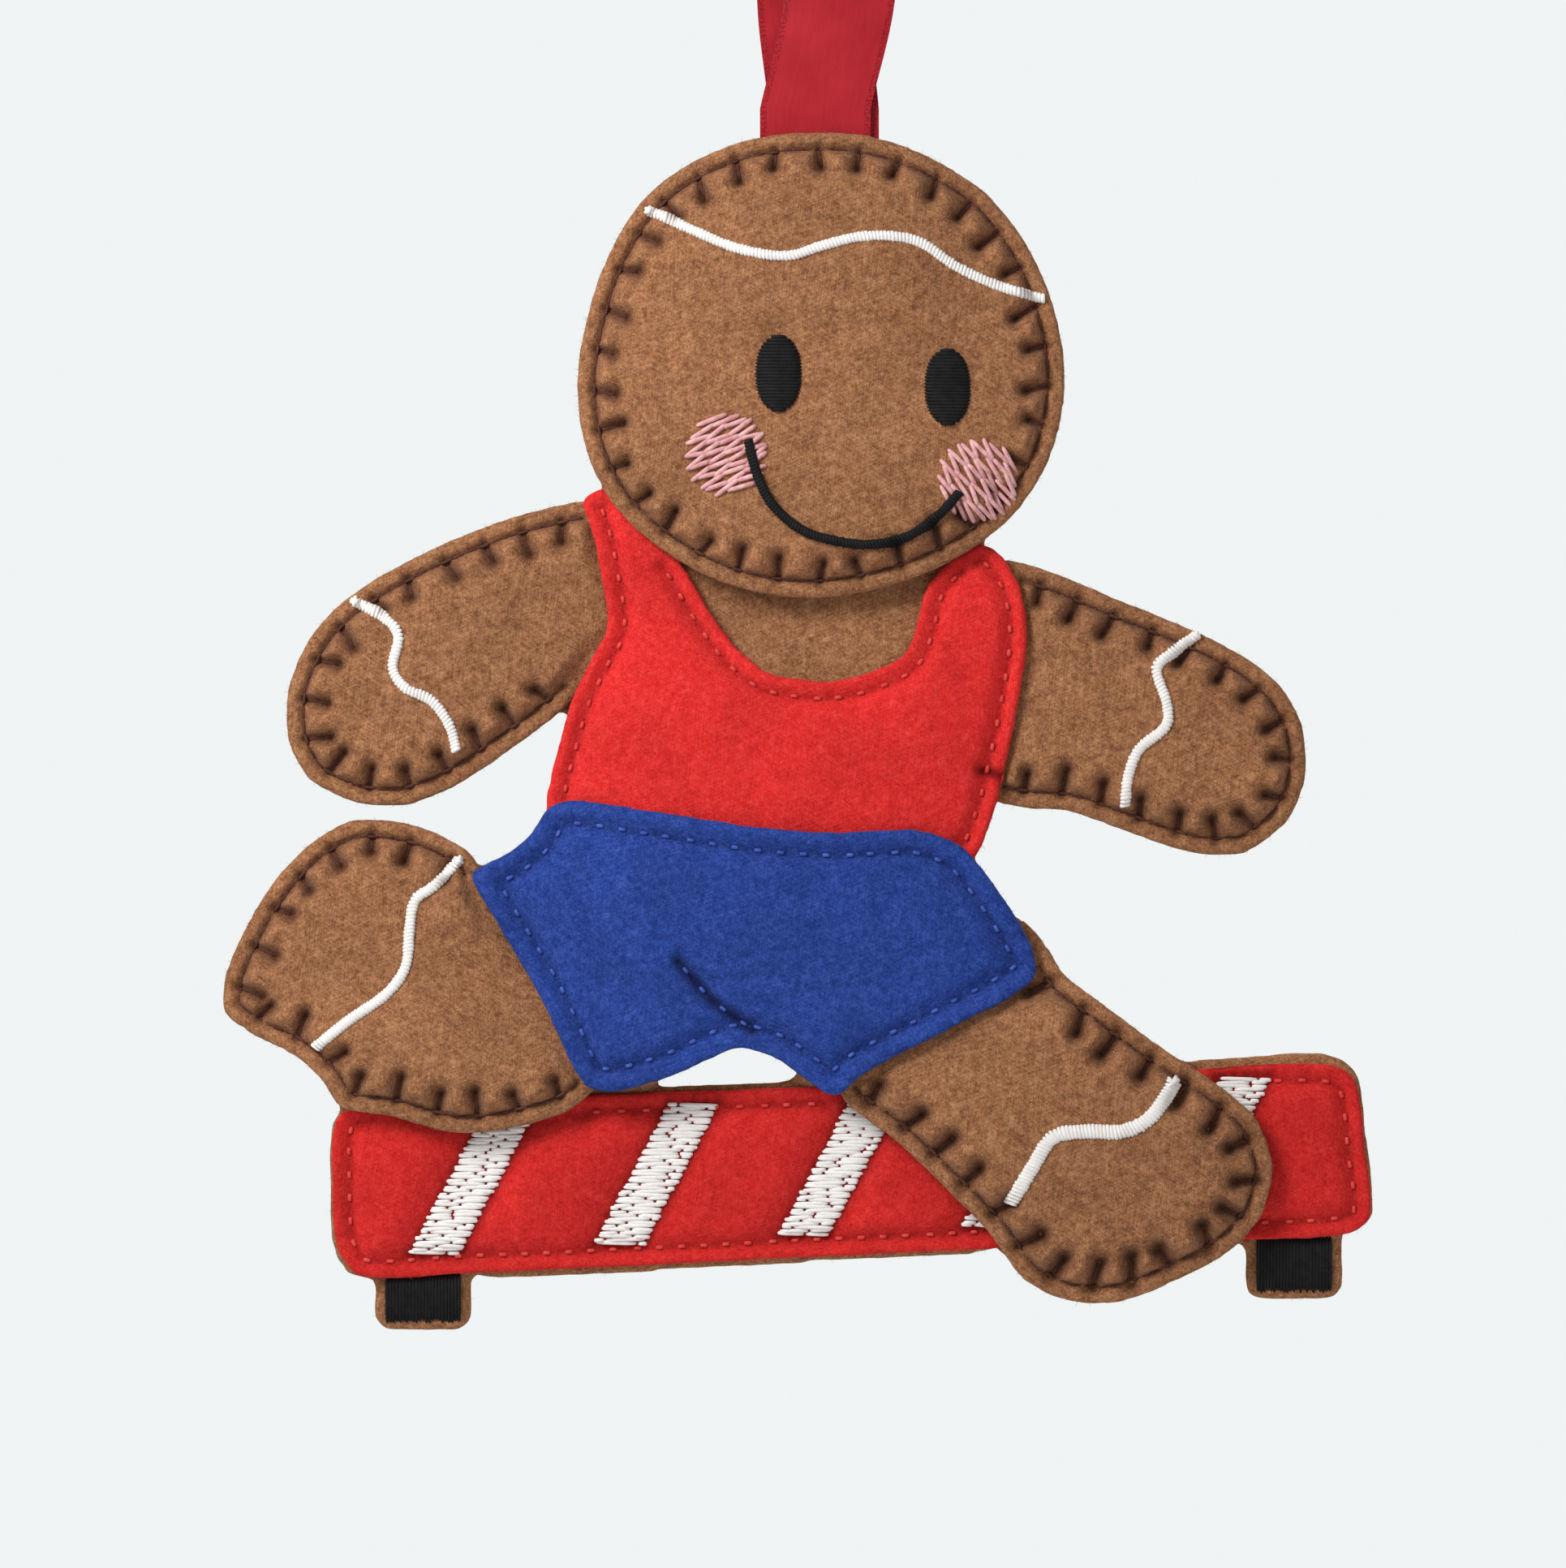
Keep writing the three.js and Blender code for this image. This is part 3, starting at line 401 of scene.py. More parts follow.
def rounded(points, step, closed):
    """Points about a step apart on a smooth curve through the given ones."""
    points = np.asarray(points, float)
    count = len(points)
    spans = count if closed else count - 1
    t = np.linspace(0, 1, 16, endpoint=False)[:, None]
    line = []
    for i in range(spans):
        picks = [(i + k) % count if closed else min(max(i + k, 0), count - 1) for k in (-1, 0, 1, 2)]
        a, b, c, d = points[picks]
        line.append(b + 0.5 * t * (c - a + t * (2 * a - 5 * b + 4 * c - d + t * (3 * (b - c) + d - a))))
    line = np.concatenate([*line, points[:1] if closed else points[-1:]])
    run = np.concatenate([[0], np.cumsum(np.linalg.norm(np.diff(line, axis=0), axis=1))])
    places = np.linspace(0, run[-1], max(2, round(run[-1] / step) + 1))
    if closed:
        places = places[:-1]
    return np.column_stack([np.interp(places, run, line[:, k]) for k in (0, 1)])


def sideways(path, closed):
    """The unit direction to the left of a path at each of its points."""
    if closed:
        along = np.roll(path, -1, axis=0) - np.roll(path, 1, axis=0)
    else:
        along = np.gradient(path, axis=0)
    along /= np.linalg.norm(along, axis=1, keepdims=True)
    return np.column_stack([-along[:, 1], along[:, 0]])


def twice_area(loop):
    """Twice the area in a loop, negative where it runs clockwise."""
    x, z = loop.T
    return np.sum(x * np.roll(z, -1) - z * np.roll(x, -1))


def inwards(loop):
    return sideways(loop, True) * np.sign(twice_area(loop))


def tree_of(points):
    """A search tree of (x, z) points."""
    tree = KDTree(len(points))
    for i, (x, z) in enumerate(points):
        tree.insert((x, 0, z), i)
    tree.balance()
    return tree


def gaps_to(tree, points):
    return np.array([tree.find((x, 0, z))[2] for x, z in points])


def near(points, places, reach):
    """How close each point is to some places: 1 there, 0 beyond about twice the reach."""
    return np.exp(-(gaps_to(tree_of(places), points) / reach) ** 2)


def inset(loop, distance):
    """A loop moved inwards, with the points dropped that would fold over, and its inward directions."""
    inner = inwards(loop)
    moved = loop + inner * distance
    keep = gaps_to(tree_of(loop), moved) > 0.97 * distance
    return moved[keep], inner[keep]


def from_head_top(points):
    return np.array(points) * MM + (0, HEAD_TOP)


# Which felt is in front


FELTS = ["head", "torso", "vest", "shorts", "board", "left_arm", "right_arm", "left_leg", "right_leg"]


def surface_of(mesh):
    shape = bmesh.new()
    shape.from_mesh(mesh)
    tree = BVHTree.FromBMesh(shape)
    shape.free()
    return tree


solid_front = {felt: surface_of(frame["nodes"][f"{felt}_felt"].data) for felt in FELTS}


def depth_at(tree, x, z):
    """How far back a surface is first met from the front, or None beside it."""
    hit = tree.ray_cast(Vector((x, FAR_IN_FRONT, z)), -TOWARDS_VIEWER)[0]
    return None if hit is None else hit.y


def topmost(x, z):
    depths = {felt: depth_at(solid_front[felt], x, z) for felt in FELTS}
    seen = {felt: y for felt, y in depths.items() if y is not None}
    return min(seen, key=seen.get) if seen else None


def runs_in_sight(felt, path, inner, distance):
    """The stretches of a seam along edges that no other felt covers, with their inward directions."""
    edge = path - inner * 0.8 * distance
    seen = np.array([topmost(*a) == felt and topmost(*b) == felt for a, b in zip(path, edge)])
    if seen.all():
        return [(np.vstack([path, path[:1]]), np.vstack([inner, inner[:1]]))]
    first = int(np.flatnonzero(~seen)[0])
    path, inner, seen = (np.roll(a, -first, axis=0) for a in (path, inner, seen))
    ends = np.flatnonzero(np.diff(np.concatenate([[0], seen.astype(int), [0]])))
    runs = [(path[a:b], inner[a:b]) for a, b in zip(ends[::2], ends[1::2])]
    return [run for run in runs if len(run[0]) > 8]


def cut_lines(felt):
    """The outlines that a felt is cut along; the back's shows as a narrow rim below the board."""
    loops = [rounded(loop, PATH_STEP, True) for loop in rims_of(f"{felt}_felt")]
    if felt == "back":
        inner = inwards(loops[0])
        below = near(loops[0], cut_lines("board")[0], RIM_REACH) * np.clip(inner[:, 1], 0, 1)
        loops[0] = loops[0] - inner * BOARD_RIM * below[:, None]
    return loops


def seam(felt, distance):
    return runs_in_sight(felt, *inset(cut_lines(felt)[0], distance), distance)


def at_pitch(path, pitch, start=0.5):
    """Indices of the points about a pitch apart along a path."""
    run = np.concatenate([[0], np.cumsum(np.linalg.norm(np.diff(path, axis=0), axis=1))])
    count = max(1, round(run[-1] / pitch))
    places = (np.arange(count) + start) * run[-1] / count
    return [int(np.argmin(abs(run - place))) for place in places]


def blanket_tines(felt, seams):
    """The short stitches square to a blanket-stitched edge, as pairs of points."""
    chance = random.Random(felt)
    tines = []
    for path, inner in seams:
        for i in at_pitch(path, BLANKET_PITCH):
            turn = chance.uniform(-0.3, 0.3)
            x, z = inner[i]
            way = np.array([x * math.cos(turn) - z * math.sin(turn), x * math.sin(turn) + z * math.cos(turn)])
            tines.append((path[i], path[i] + way * TINE_LENGTH * chance.uniform(0.7, 1.2)))
    return tines


BLANKETED = ["head", "left_arm", "right_arm", "left_leg", "right_leg"]
seams = {felt: seam(felt, BLANKET_INSET) for felt in BLANKETED}
seams["vest"] = seam("vest", RUNNING_INSET)
seams["shorts"] = seam("shorts", SHORTS_INSET)
seams["board"] = seam("board", RUNNING_INSET)
seams["back"] = [inset(loop, RUNNING_INSET) for loop in cut_lines("back")[:1]]
tines = {felt: blanket_tines(felt, seams[felt]) for felt in BLANKETED}


def line_between(a, b, step=0.2 * MM):
    count = max(2, round(float(np.linalg.norm(b - a)) / step) + 1)
    return a + (b - a) * np.linspace(0, 1, count)[:, None]


def stripe_middles():
    """The middle line of each stripe on the board, from its solid."""
    middles = []
    for i in range(1, 6):
        low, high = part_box(f"board_stripe_{i}")
        half = STRIPE_WIDTH / 2
        bottom, top = np.array([low.x + half, low.z]), np.array([high.x - half, high.z])
        middles.append((bottom, top + (top - bottom) / (high.z - low.z) * STRIPE_RISE))
    return middles


# Felt pieces


def points_of(mesh):
    points = np.empty(3 * len(mesh.vertices))
    mesh.vertices.foreach_get("co", points)
    return points.reshape(-1, 3)


def normals_of(mesh):
    normals = np.empty(3 * len(mesh.vertices))
    mesh.vertex_normals.foreach_get("vector", normals)
    return normals.reshape(-1, 3)


def put_points(mesh, points):
    mesh.vertices.foreach_set("co", np.ascontiguousarray(points).ravel())
    mesh.update()


def new_piece(name, shape):
    """An object from a finished bmesh, shaded smooth."""
    mesh = bpy.data.meshes.new(name)
    shape.to_mesh(mesh)
    shape.free()
    mesh.shade_smooth()
    piece = bpy.data.objects.new(name, mesh)
    scene.collection.objects.link(piece)
    return piece


def apply_modifiers(piece):
    graph = bpy.context.evaluated_depsgraph_get()
    mesh = bpy.data.meshes.new_from_object(piece.evaluated_get(graph))
    piece.modifiers.clear()
    piece.data = mesh
    mesh.shade_smooth()


def remeshed(felt, voxel):
    """A felt's solid as an even mesh with soft edges."""
    piece = new_piece(felt, merged(frame["nodes"][f"{felt}_felt"].data))
    remesh = piece.modifiers.new("even", "REMESH")
    remesh.mode = "VOXEL"
    remesh.voxel_size = voxel
    smooth = piece.modifiers.new("soft", "SMOOTH")
    smooth.factor = 0.5
    smooth.iterations = 4
    apply_modifiers(piece)
    return piece


def true_edge(piece, loops):
    """Brings the side of a remeshed felt onto its cut line, with rounded corners."""
    mesh = piece.data
    points = points_of(mesh)
    facing = abs(normals_of(mesh)[:, 1])
    line = np.vstack(loops)
    inner = np.vstack([inwards(loop) * (1 if i == 0 else -1) for i, loop in enumerate(loops)])
    tree = tree_of(line)
    for i in np.flatnonzero(facing < 0.85):
        x, _, z = points[i]
        _, nearest, _ = tree.find((x, 0, z))
        way = inner[nearest]
        offset = (x - line[nearest, 0]) * way[0] + (z - line[nearest, 1]) * way[1]
        shift = (EDGE_ROUNDING * facing[i] ** 2 - offset) * (1 - facing[i] ** 2)
        points[i, 0] += way[0] * shift
        points[i, 2] += way[1] * shift
    put_points(mesh, points)


def smoothed(values, edges, rounds, fixed, most):
    """Values on a mesh's points evened out along its edges, except at fixed points, each at most as given."""
    count = len(values)
    ends = np.concatenate([edges[:, 0], edges[:, 1]])
    others = np.concatenate([edges[:, 1], edges[:, 0]])
    degree = np.maximum(np.bincount(ends, minlength=count), 1)
    for _ in range(rounds):
        mean = np.bincount(ends, weights=values[others], minlength=count) / degree
        values = np.where(fixed, values, np.minimum(mean, most))
    return values


def wrap(piece, loops):
    """Draws the back felt forward along its edge until it meets the felts that it is sewn to."""
    mesh = piece.data
    points = points_of(mesh)
    flat = points[:, [0, 2]]
    inside = [f"{felt}_felt" for felt in FELTS]
    inside += [name for name in frame["nodes"] if name.endswith("_wadding")]
    trees = [surface_of(frame["nodes"][name].data) for name in [*inside, "ribbon_tail"]]
    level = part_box("back_felt")[0].y
    room = np.full(len(points), np.inf)
    for i, (x, z) in enumerate(flat):
        depths = [tree.ray_cast(Vector((x, level, z)), TOWARDS_VIEWER)[3] for tree in trees]
        room[i] = min((depth for depth in depths if depth is not None), default=np.inf)
    met = np.flatnonzero(np.isfinite(room))
    tree = tree_of(flat[met])
    for i in np.flatnonzero(np.isinf(room)):
        _, nearest, gap = tree.find((flat[i, 0], 0, flat[i, 1]))
        room[i] = room[met[nearest]] if gap < LIP else 0
    room = np.maximum(room - LAYER_GAP, 0)
    edges = np.array([edge.vertices[:] for edge in mesh.edges])
    sewn = gaps_to(tree_of(np.vstack(loops)), flat) < SEWN_BAND
    move = smoothed(room, edges, 6, np.zeros(len(room), bool), room)
    move = smoothed(move, edges, 60, sewn, room)
    points[:, 1] -= move
    put_points(mesh, points)


def swell(piece, held, pressure, give):
    """Cloth with pressure inside it swells a piece between its held points, by no more than its give."""
    rest = points_of(piece.data)
    put_points(piece.data, rest * CLOTH_SCALE)
    group = piece.vertex_groups.new(name="held")
    group.add([int(i) for i in np.flatnonzero(held)], 1.0, "REPLACE")
    cloth = piece.modifiers.new("swell", "CLOTH")
    cloth.settings.vertex_group_mass = group.name
    cloth.settings.use_pressure = True
    cloth.settings.uniform_pressure_force = pressure
    cloth.settings.effector_weights.gravity = 0
    cloth.collision_settings.use_collision = False
    cloth.point_cache.frame_end = CLOTH_FRAMES
    for moment in range(1, CLOTH_FRAMES + 1):
        scene.frame_set(moment)
    apply_modifiers(piece)
    scene.frame_set(1)
    piece.vertex_groups.clear()
    move = points_of(piece.data) / CLOTH_SCALE - rest
    far = np.maximum(np.linalg.norm(move, axis=1, keepdims=True), 1e-9)
    put_points(piece.data, rest + move * give * np.tanh(far / give) / far)


def covered(felt, points):
    """Which points of a felt lie behind another one."""
    low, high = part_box(f"{felt}_felt")
    rivals = []
    for other in FELTS:
        a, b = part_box(f"{other}_felt")
        if other != felt and a.x < high.x and b.x > low.x and a.z < high.z and b.z > low.z:
            rivals.append(solid_front[other])
    hidden = np.zeros(len(points), bool)
    for i, (x, y, z) in enumerate(points):
        for tree in rivals:
            depth = depth_at(tree, x, z)
            if depth is not None and depth < y - 0.2 * MM:
                hidden[i] = True
                break
    return hidden


def draw_in(piece, facing, pull, loops, seam_line, pits, creases):
    """Thread draws a felt in along its seam and at each tine, and the felt puffs up between the tines;
    painted shade is kept where it is drawn in.
    """
    mesh = piece.data
    points = points_of(mesh)
    flat = points[:, [0, 2]]
    front = np.clip(normals_of(mesh)[:, 1] * facing * 3, 0, 1)
    crack = near(flat, seam_line, CRACK_REACH)
    if pits:
        pit = near(flat, np.vstack(pits), pull * PIT_REACH)
        hole_shade = near(flat, [line[-1] for line in pits], pull * HOLE_SHADE_REACH)
        to_pit = gaps_to(tree_of(np.vstack(pits)), flat)
        to_rim = gaps_to(tree_of(np.vstack(loops)), flat)
        to_seam = gaps_to(tree_of(seam_line), flat)
        arch = np.clip(to_pit / (BLANKET_PITCH / 2), 0, 1)
        band = np.clip((to_rim - BLANKET_INSET) / PUFF_RISE, 0, 1) * np.clip(1 - to_seam / PUFF_FADE, 0, 1)
        drawn = np.maximum(CRACK_DEPTH * crack, pull * PIT_DEPTH * pit)
        rise = PUFF * band * np.sin(math.pi / 2 * arch) - drawn
        # Painted shade along the seam's crack, in the pits and at each tine's needle hole
        dark = np.maximum.reduce([0.7 * crack, 0.85 * pit, hole_shade])
    else:
        rise = -GROOVE_DEPTH * near(flat, seam_line, GROOVE_REACH)
        # Painted shade along the seam's groove
        dark = 0.5 * crack
    if creases:
        fold = near(flat, np.vstack(creases), PIT_REACH)
        rise -= CRACK_DEPTH * fold
        # Painted shade along the crease
        dark = np.maximum(dark, fold)
    points[:, 1] += facing * front * rise
    put_points(mesh, points)
    # The painted shade is kept per point, for the felt's colour to darken by
    crease = mesh.attributes.new("crease", "FLOAT", "POINT")
    crease.data.foreach_set("value", dark * front)


def sink(piece, facing, lines):
    """Embroidery draws a felt down under it in a wide hollow, and paints shade on the felt under it."""
    points = points_of(piece.data)
    flat = points[:, [0, 2]]
    front = np.clip(normals_of(piece.data)[:, 1] * facing * 3, 0, 1)
    points[:, 1] -= facing * front * STRIPE_DRAW * near(flat, lines, STRIPE_REACH)
    put_points(piece.data, points)
    # Painted shade on the felt under the stripes
    crease = piece.data.attributes["crease"].data
    dark = np.empty(len(crease))
    crease.foreach_get("value", dark)
    crease.foreach_set("value", np.maximum(dark, 0.8 * near(flat, lines, STRIPE_SHADE)))


def matt(piece, seed):
    """Small lumps, as wool has after pressing."""
    mesh = piece.data
    points = points_of(mesh)
    normals = normals_of(mesh)
    shift = Vector((seed, 0, 0))
    lumps = [noise.fractal(Vector(p) / LUMP_SIZE + shift, 0.9, 2.0, 2) for p in points]
    put_points(mesh, points + normals * LUMP_HEIGHT * np.array(lumps)[:, None])


def subdivide(piece):
    subdivision = piece.modifiers.new("fine", "SUBSURF")
    subdivision.levels = 1
    subdivision.render_levels = 1
    apply_modifiers(piece)


def finish_piece(piece, material, nodes, body="figure"):
    piece.data.materials.clear()
    piece.data.materials.append(material)
    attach(piece, body)
    if nodes:
        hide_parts(*nodes)


def felt_piece(felt, give, holds=(), creases=(), facing=-1, voxel=FELT_VOXEL):
    """A felt swollen by its stuffing between its threads and drawn in along them."""
    piece = remeshed(felt, voxel)
    loops = cut_lines(felt)
    true_edge(piece, loops)
    true_edge(piece, loops)
    if felt == "back":
        wrap(piece, loops)
    points = points_of(piece.data)
    flat = points[:, [0, 2]]
    seam_line = np.vstack([path for path, _ in seams[felt]])
    pits = [line_between(a, b) for a, b in tines.get(felt, [])]
    to_seam = gaps_to(tree_of(seam_line), flat)
    sewn = gaps_to(tree_of(np.vstack([seam_line, *pits, *holds, *creases])), flat)
    beyond = (gaps_to(tree_of(np.vstack(loops)), flat) < BLANKET_INSET) & (to_seam < 2 * BLANKET_INSET)
    held = (normals_of(piece.data)[:, 1] * facing < 0.5) | beyond | (sewn < HOLD_REACH)
    if facing < 0:
        held |= covered(felt, points)
    swell(piece, held, PRESSURE[felt], give)
    subdivide(piece)
    draw_in(piece, facing, PULL.get(felt, 1), loops, seam_line, pits, creases)
    if felt == "board":
        sink(piece, facing, np.vstack(holds))
    matt(piece, len(felt))
    return piece


def cloth_sheet(node):
    """Works out the area of a felt sheet's cut outline; nothing uses it."""
    area = abs(twice_area(rims_of(node)[0])) / 2


pieces = {}
for felt in BLANKETED:
    icing = rounded(from_head_top(ICING[felt]), PATH_STEP, False)
    pieces[felt] = felt_piece(felt, PADDED_GIVE, [icing])
    finish_piece(pieces[felt], BROWN_FELT, [f"{felt}_felt", f"{felt}_wadding"])

centre_seam = rounded(from_head_top(SHORTS_SEAM), PATH_STEP, False)
notch = rounded(from_head_top(VEST_NOTCH), PATH_STEP, False)
for felt, crease, material, slot, nodes in [
    ("vest", notch, RED_FELT, "red_felt", ["vest_felt", "trunk_wadding"]),
    ("shorts", centre_seam, BLUE_FELT, "blue_felt", ["shorts_felt"]),
]:
    pieces[felt] = felt_piece(felt, CLOTHES_GIVE, creases=[crease])
    finish_piece(pieces[felt], material, nodes)
    cloth_sheet(f"{felt}_felt")

stripe_lines = []
for low, high in stripe_middles():
    aside = np.array([STRIPE_COVER / 2, 0])
    for share in (-0.9, -0.45, 0, 0.45, 0.9):
        stripe_lines.append(line_between(low + aside * share, high + aside * share))
pieces["board"] = felt_piece("board", BOARD_GIVE, stripe_lines)
finish_piece(pieces["board"], BOARD_FELT, ["board_felt"])
cloth_sheet("board_felt")

pieces["torso"] = remeshed("torso", FELT_VOXEL)
true_edge(pieces["torso"], cut_lines("torso"))
matt(pieces["torso"], len("torso"))
finish_piece(pieces["torso"], BROWN_FELT, ["torso_felt"])
cloth_sheet("torso_felt")

pieces["back"] = felt_piece("back", BACK_GIVE, facing=1, voxel=BACK_VOXEL)
finish_piece(pieces["back"], BROWN_FELT, ["back_felt"])
cloth_sheet("back_felt")


# Loose fibres


def fibre_shape():
    """One fibre: a thin bent spike that starts at the origin."""
    shape = bmesh.new()
    rise = Matrix.Translation((0, 0, FIBRE_LENGTH / 2))
    bmesh.ops.create_cone(shape, cap_ends=True, segments=3, radius1=FIBRE_WIDTH / 2, radius2=FIBRE_WIDTH / 5,
                          depth=FIBRE_LENGTH, matrix=rise)
    long = [edge for edge in shape.edges if edge.calc_length() > FIBRE_LENGTH / 2]
    bmesh.ops.subdivide_edges(shape, edges=long, cuts=1)
    for vert in shape.verts:
        vert.co.x += 0.3 * vert.co.z ** 2 / FIBRE_LENGTH
    return shape


def fuzz(piece, facing, density, seed):
    """Fibres that stand off the outer side of a felt, as a piece of their own."""
    fibre = new_piece("fibre", fibre_shape())
    tree = bpy.data.node_groups.new("fuzz", "GeometryNodeTree")
    tree.interface.new_socket("Felt", in_out="INPUT", socket_type="NodeSocketGeometry")
    tree.interface.new_socket("Fibres", in_out="OUTPUT", socket_type="NodeSocketGeometry")
    nodes, links = tree.nodes, tree.links
    felt_in, fibres_out = nodes.new("NodeGroupInput"), nodes.new("NodeGroupOutput")
    split = nodes.new("ShaderNodeSeparateXYZ")
    links.new(nodes.new("GeometryNodeInputNormal").outputs["Normal"], split.inputs["Vector"])
    outwards = math_node(nodes, links, "MULTIPLY", split.outputs["Y"], facing)
    outer = math_node(nodes, links, "GREATER_THAN", outwards, -0.3)
    scatter = nodes.new("GeometryNodeDistributePointsOnFaces")
    scatter.inputs["Density"].default_value = density
    scatter.inputs["Seed"].default_value = seed
    links.new(felt_in.outputs["Felt"], scatter.inputs["Mesh"])
    links.new(outer, scatter.inputs["Selection"])
    lean = nodes.new("FunctionNodeRandomValue")
    lean.data_type = "FLOAT_VECTOR"
    lean.inputs["Min"].default_value = (-1.35, -1.35, 0)
    lean.inputs["Max"].default_value = (1.35, 1.35, 2 * math.pi)
    lean.inputs["Seed"].default_value = seed + 1
    euler = nodes.new("FunctionNodeEulerToRotation")
    links.new(lean.outputs["Value"], euler.inputs["Euler"])
    turned = nodes.new("FunctionNodeRotateRotation")
    turned.rotation_space = "LOCAL"
    links.new(scatter.outputs["Rotation"], turned.inputs["Rotation"])
    links.new(euler.outputs["Rotation"], turned.inputs["Rotate By"])
    size = nodes.new("FunctionNodeRandomValue")
    size.inputs[2].default_value = 0.5
    size.inputs[3].default_value = 1.2
    size.inputs["Seed"].default_value = seed + 2
    one = nodes.new("GeometryNodeObjectInfo")
    one.inputs["Object"].default_value = fibre
    spread = nodes.new("GeometryNodeInstanceOnPoints")
    links.new(scatter.outputs["Points"], spread.inputs["Points"])
    links.new(one.outputs["Geometry"], spread.inputs["Instance"])
    links.new(turned.outputs["Rotation"], spread.inputs["Rotation"])
    links.new(size.outputs[1], spread.inputs["Scale"])
    real = nodes.new("GeometryNodeRealizeInstances")
    links.new(spread.outputs["Instances"], real.inputs["Geometry"])
    links.new(real.outputs["Geometry"], fibres_out.inputs["Fibres"])
    nap = bpy.data.objects.new(f"{piece.name}_fuzz", piece.data)
    scene.collection.objects.link(nap)
    nap.modifiers.new("fuzz", "NODES").node_group = tree
    apply_modifiers(nap)
    bpy.data.node_groups.remove(tree)
    bpy.data.objects.remove(fibre)
    return nap


for seed, (felt, piece) in enumerate(pieces.items()):
    facing, density = (1, BACK_FUZZ) if felt == "back" else (-1, FRONT_FUZZ)
    material = piece.data.materials[0]
    slot = {"vest": "red_felt", "board": "red_felt", "shorts": "blue_felt"}.get(felt, "brown_felt")
    finish_piece(fuzz(piece, facing, density, 10 * seed), material, [])


# Threads


surface = {felt: surface_of(piece.data) for felt, piece in pieces.items()}


def on_felt(felt, spot, lift=0.0):
    """The point of a felt's front at an (x, z) place, raised by a lift."""
    x, z = (float(c) for c in spot)
    depth = depth_at(surface[felt], x, z)
    if depth is None:
        depth = surface[felt].find_nearest(Vector((x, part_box(f"{felt}_felt")[0].y, z)))[0].y
    return Vector((x, depth - lift, z))


def add_stitch(shape, start, end, width, height, bow):
    """One thread: a plump blunt spindle from start to end whose middle stands off the felt."""
    along = end - start
    side = TOWARDS_VIEWER.cross(along).normalized()
    out = along.cross(side).normalized()
    frame_of = Matrix((side * width / 2, out * height / 2, along / 2)).transposed()
    centre = (start + end) / 2
    for vert in bmesh.ops.create_uvsphere(shape, u_segments=6, v_segments=5, radius=1)["verts"]:
        x, y, z = vert.co
        fuller = max(math.hypot(x, y), 0.01) ** -0.5
        place = math.copysign(abs(z) ** 0.5, z)
        spot = Vector((x * fuller, y * fuller, place))
        vert.co = centre + frame_of @ spot + out * bow * (1 - place * place)


def laid(felt, start, end, thread, height, bow):
    """A stitch between two places on a felt, lifted over any bulge between them."""
    a, b = on_felt(felt, start), on_felt(felt, end)
    middle = on_felt(felt, (np.asarray(start) + np.asarray(end)) / 2)
    rise = max(0.0, (a.y + b.y) / 2 - middle.y)
    return a, b, thread, height, rise + bow


def thread_piece(name, stitches, material, nodes):
    shape = bmesh.new()
    for stitch in stitches:
        add_stitch(shape, *stitch)
    piece = new_piece(name, shape)
    finish_piece(piece, material, nodes)
    return piece


def satin_line(felt, points, width, pitch, thread, seed):
    """Close stitches across a drawn line."""
    chance = random.Random(seed)
    path = rounded(from_head_top(points), pitch, False)
    side = sideways(path, False)
    stitches = []
    for spot, way in zip(path, side):
        reach = width / 2 * chance.uniform(0.93, 1.07)
        skew = np.array([-way[1], way[0]]) * SATIN_SKEW
        half = way * reach + skew
        stitches.append(laid(felt, spot - half, spot + half, thread, 0.8 * thread, SATIN_BOW))
    return stitches


def knot(felt, point, width, thread, seed):
    """A few stitches over each other where a line of satin begins."""
    chance = random.Random(seed)
    centre = from_head_top([point])[0]
    stitches = []
    for turn in (0.3, 1.3, 2.4):
        turn += chance.uniform(-0.3, 0.3)
        reach = np.array([math.cos(turn), math.sin(turn)]) * width * chance.uniform(0.4, 0.6)
        ends = [on_felt(felt, centre + sign * reach, KNOT_LIFT) for sign in (-1, 1)]
        stitches.append((*ends, thread, thread, KNOT_BOW))
    return stitches


for limb, points in ICING.items():
    icing_stitches = satin_line(limb, points, ICING_WIDTH[limb], ICING_PITCH, ICING_THREAD, limb)
    icing_stitches += knot(limb, points[0], ICING_WIDTH[limb], ICING_THREAD, limb)
    thread_piece(f"{limb}_icing_satin", icing_stitches, WHITE_THREAD, [f"{limb}_icing"])


def cheek(felt, node, slope, seed):
    """Open rows of slanting stitches within a round patch."""
    chance = random.Random(seed)
    low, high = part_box(node)
    centre = np.array([(low.x + high.x) / 2, (low.z + high.z) / 2])
    along = np.array([math.cos(slope), math.sin(slope)])
    across = np.array([-along[1], along[0]])
    radius = (CHEEK_WIDTH + CHEEK_HEIGHT) / 4
    stitches = []
    rows = int(radius / CHEEK_ROW)
    for row in range(-rows, rows + 1):
        offset = row * CHEEK_ROW
        reach = math.sqrt(max(0.0, radius ** 2 - offset ** 2))
        count = max(1, round(2 * reach / CHEEK_STITCH))
        marks = np.linspace(-reach, reach, count + 1)
        for i in range(count):
            lean = CHEEK_ZIGZAG if (i + row) % 2 else -CHEEK_ZIGZAG / 2
            low_end, high_end = (chance.uniform(-UNEVEN, UNEVEN) * MM for _ in range(2))
            start = centre + along * (marks[i] - CHEEK_OVERLAP + low_end)
            start = start + across * (offset - lean + low_end)
            end = centre + along * (marks[i + 1] + CHEEK_OVERLAP + high_end)
            end = end + across * (offset + lean + high_end)
            stitches.append(laid(felt, start, end, CHEEK_THREAD, CHEEK_THREAD, CHEEK_BOW))
    return stitches


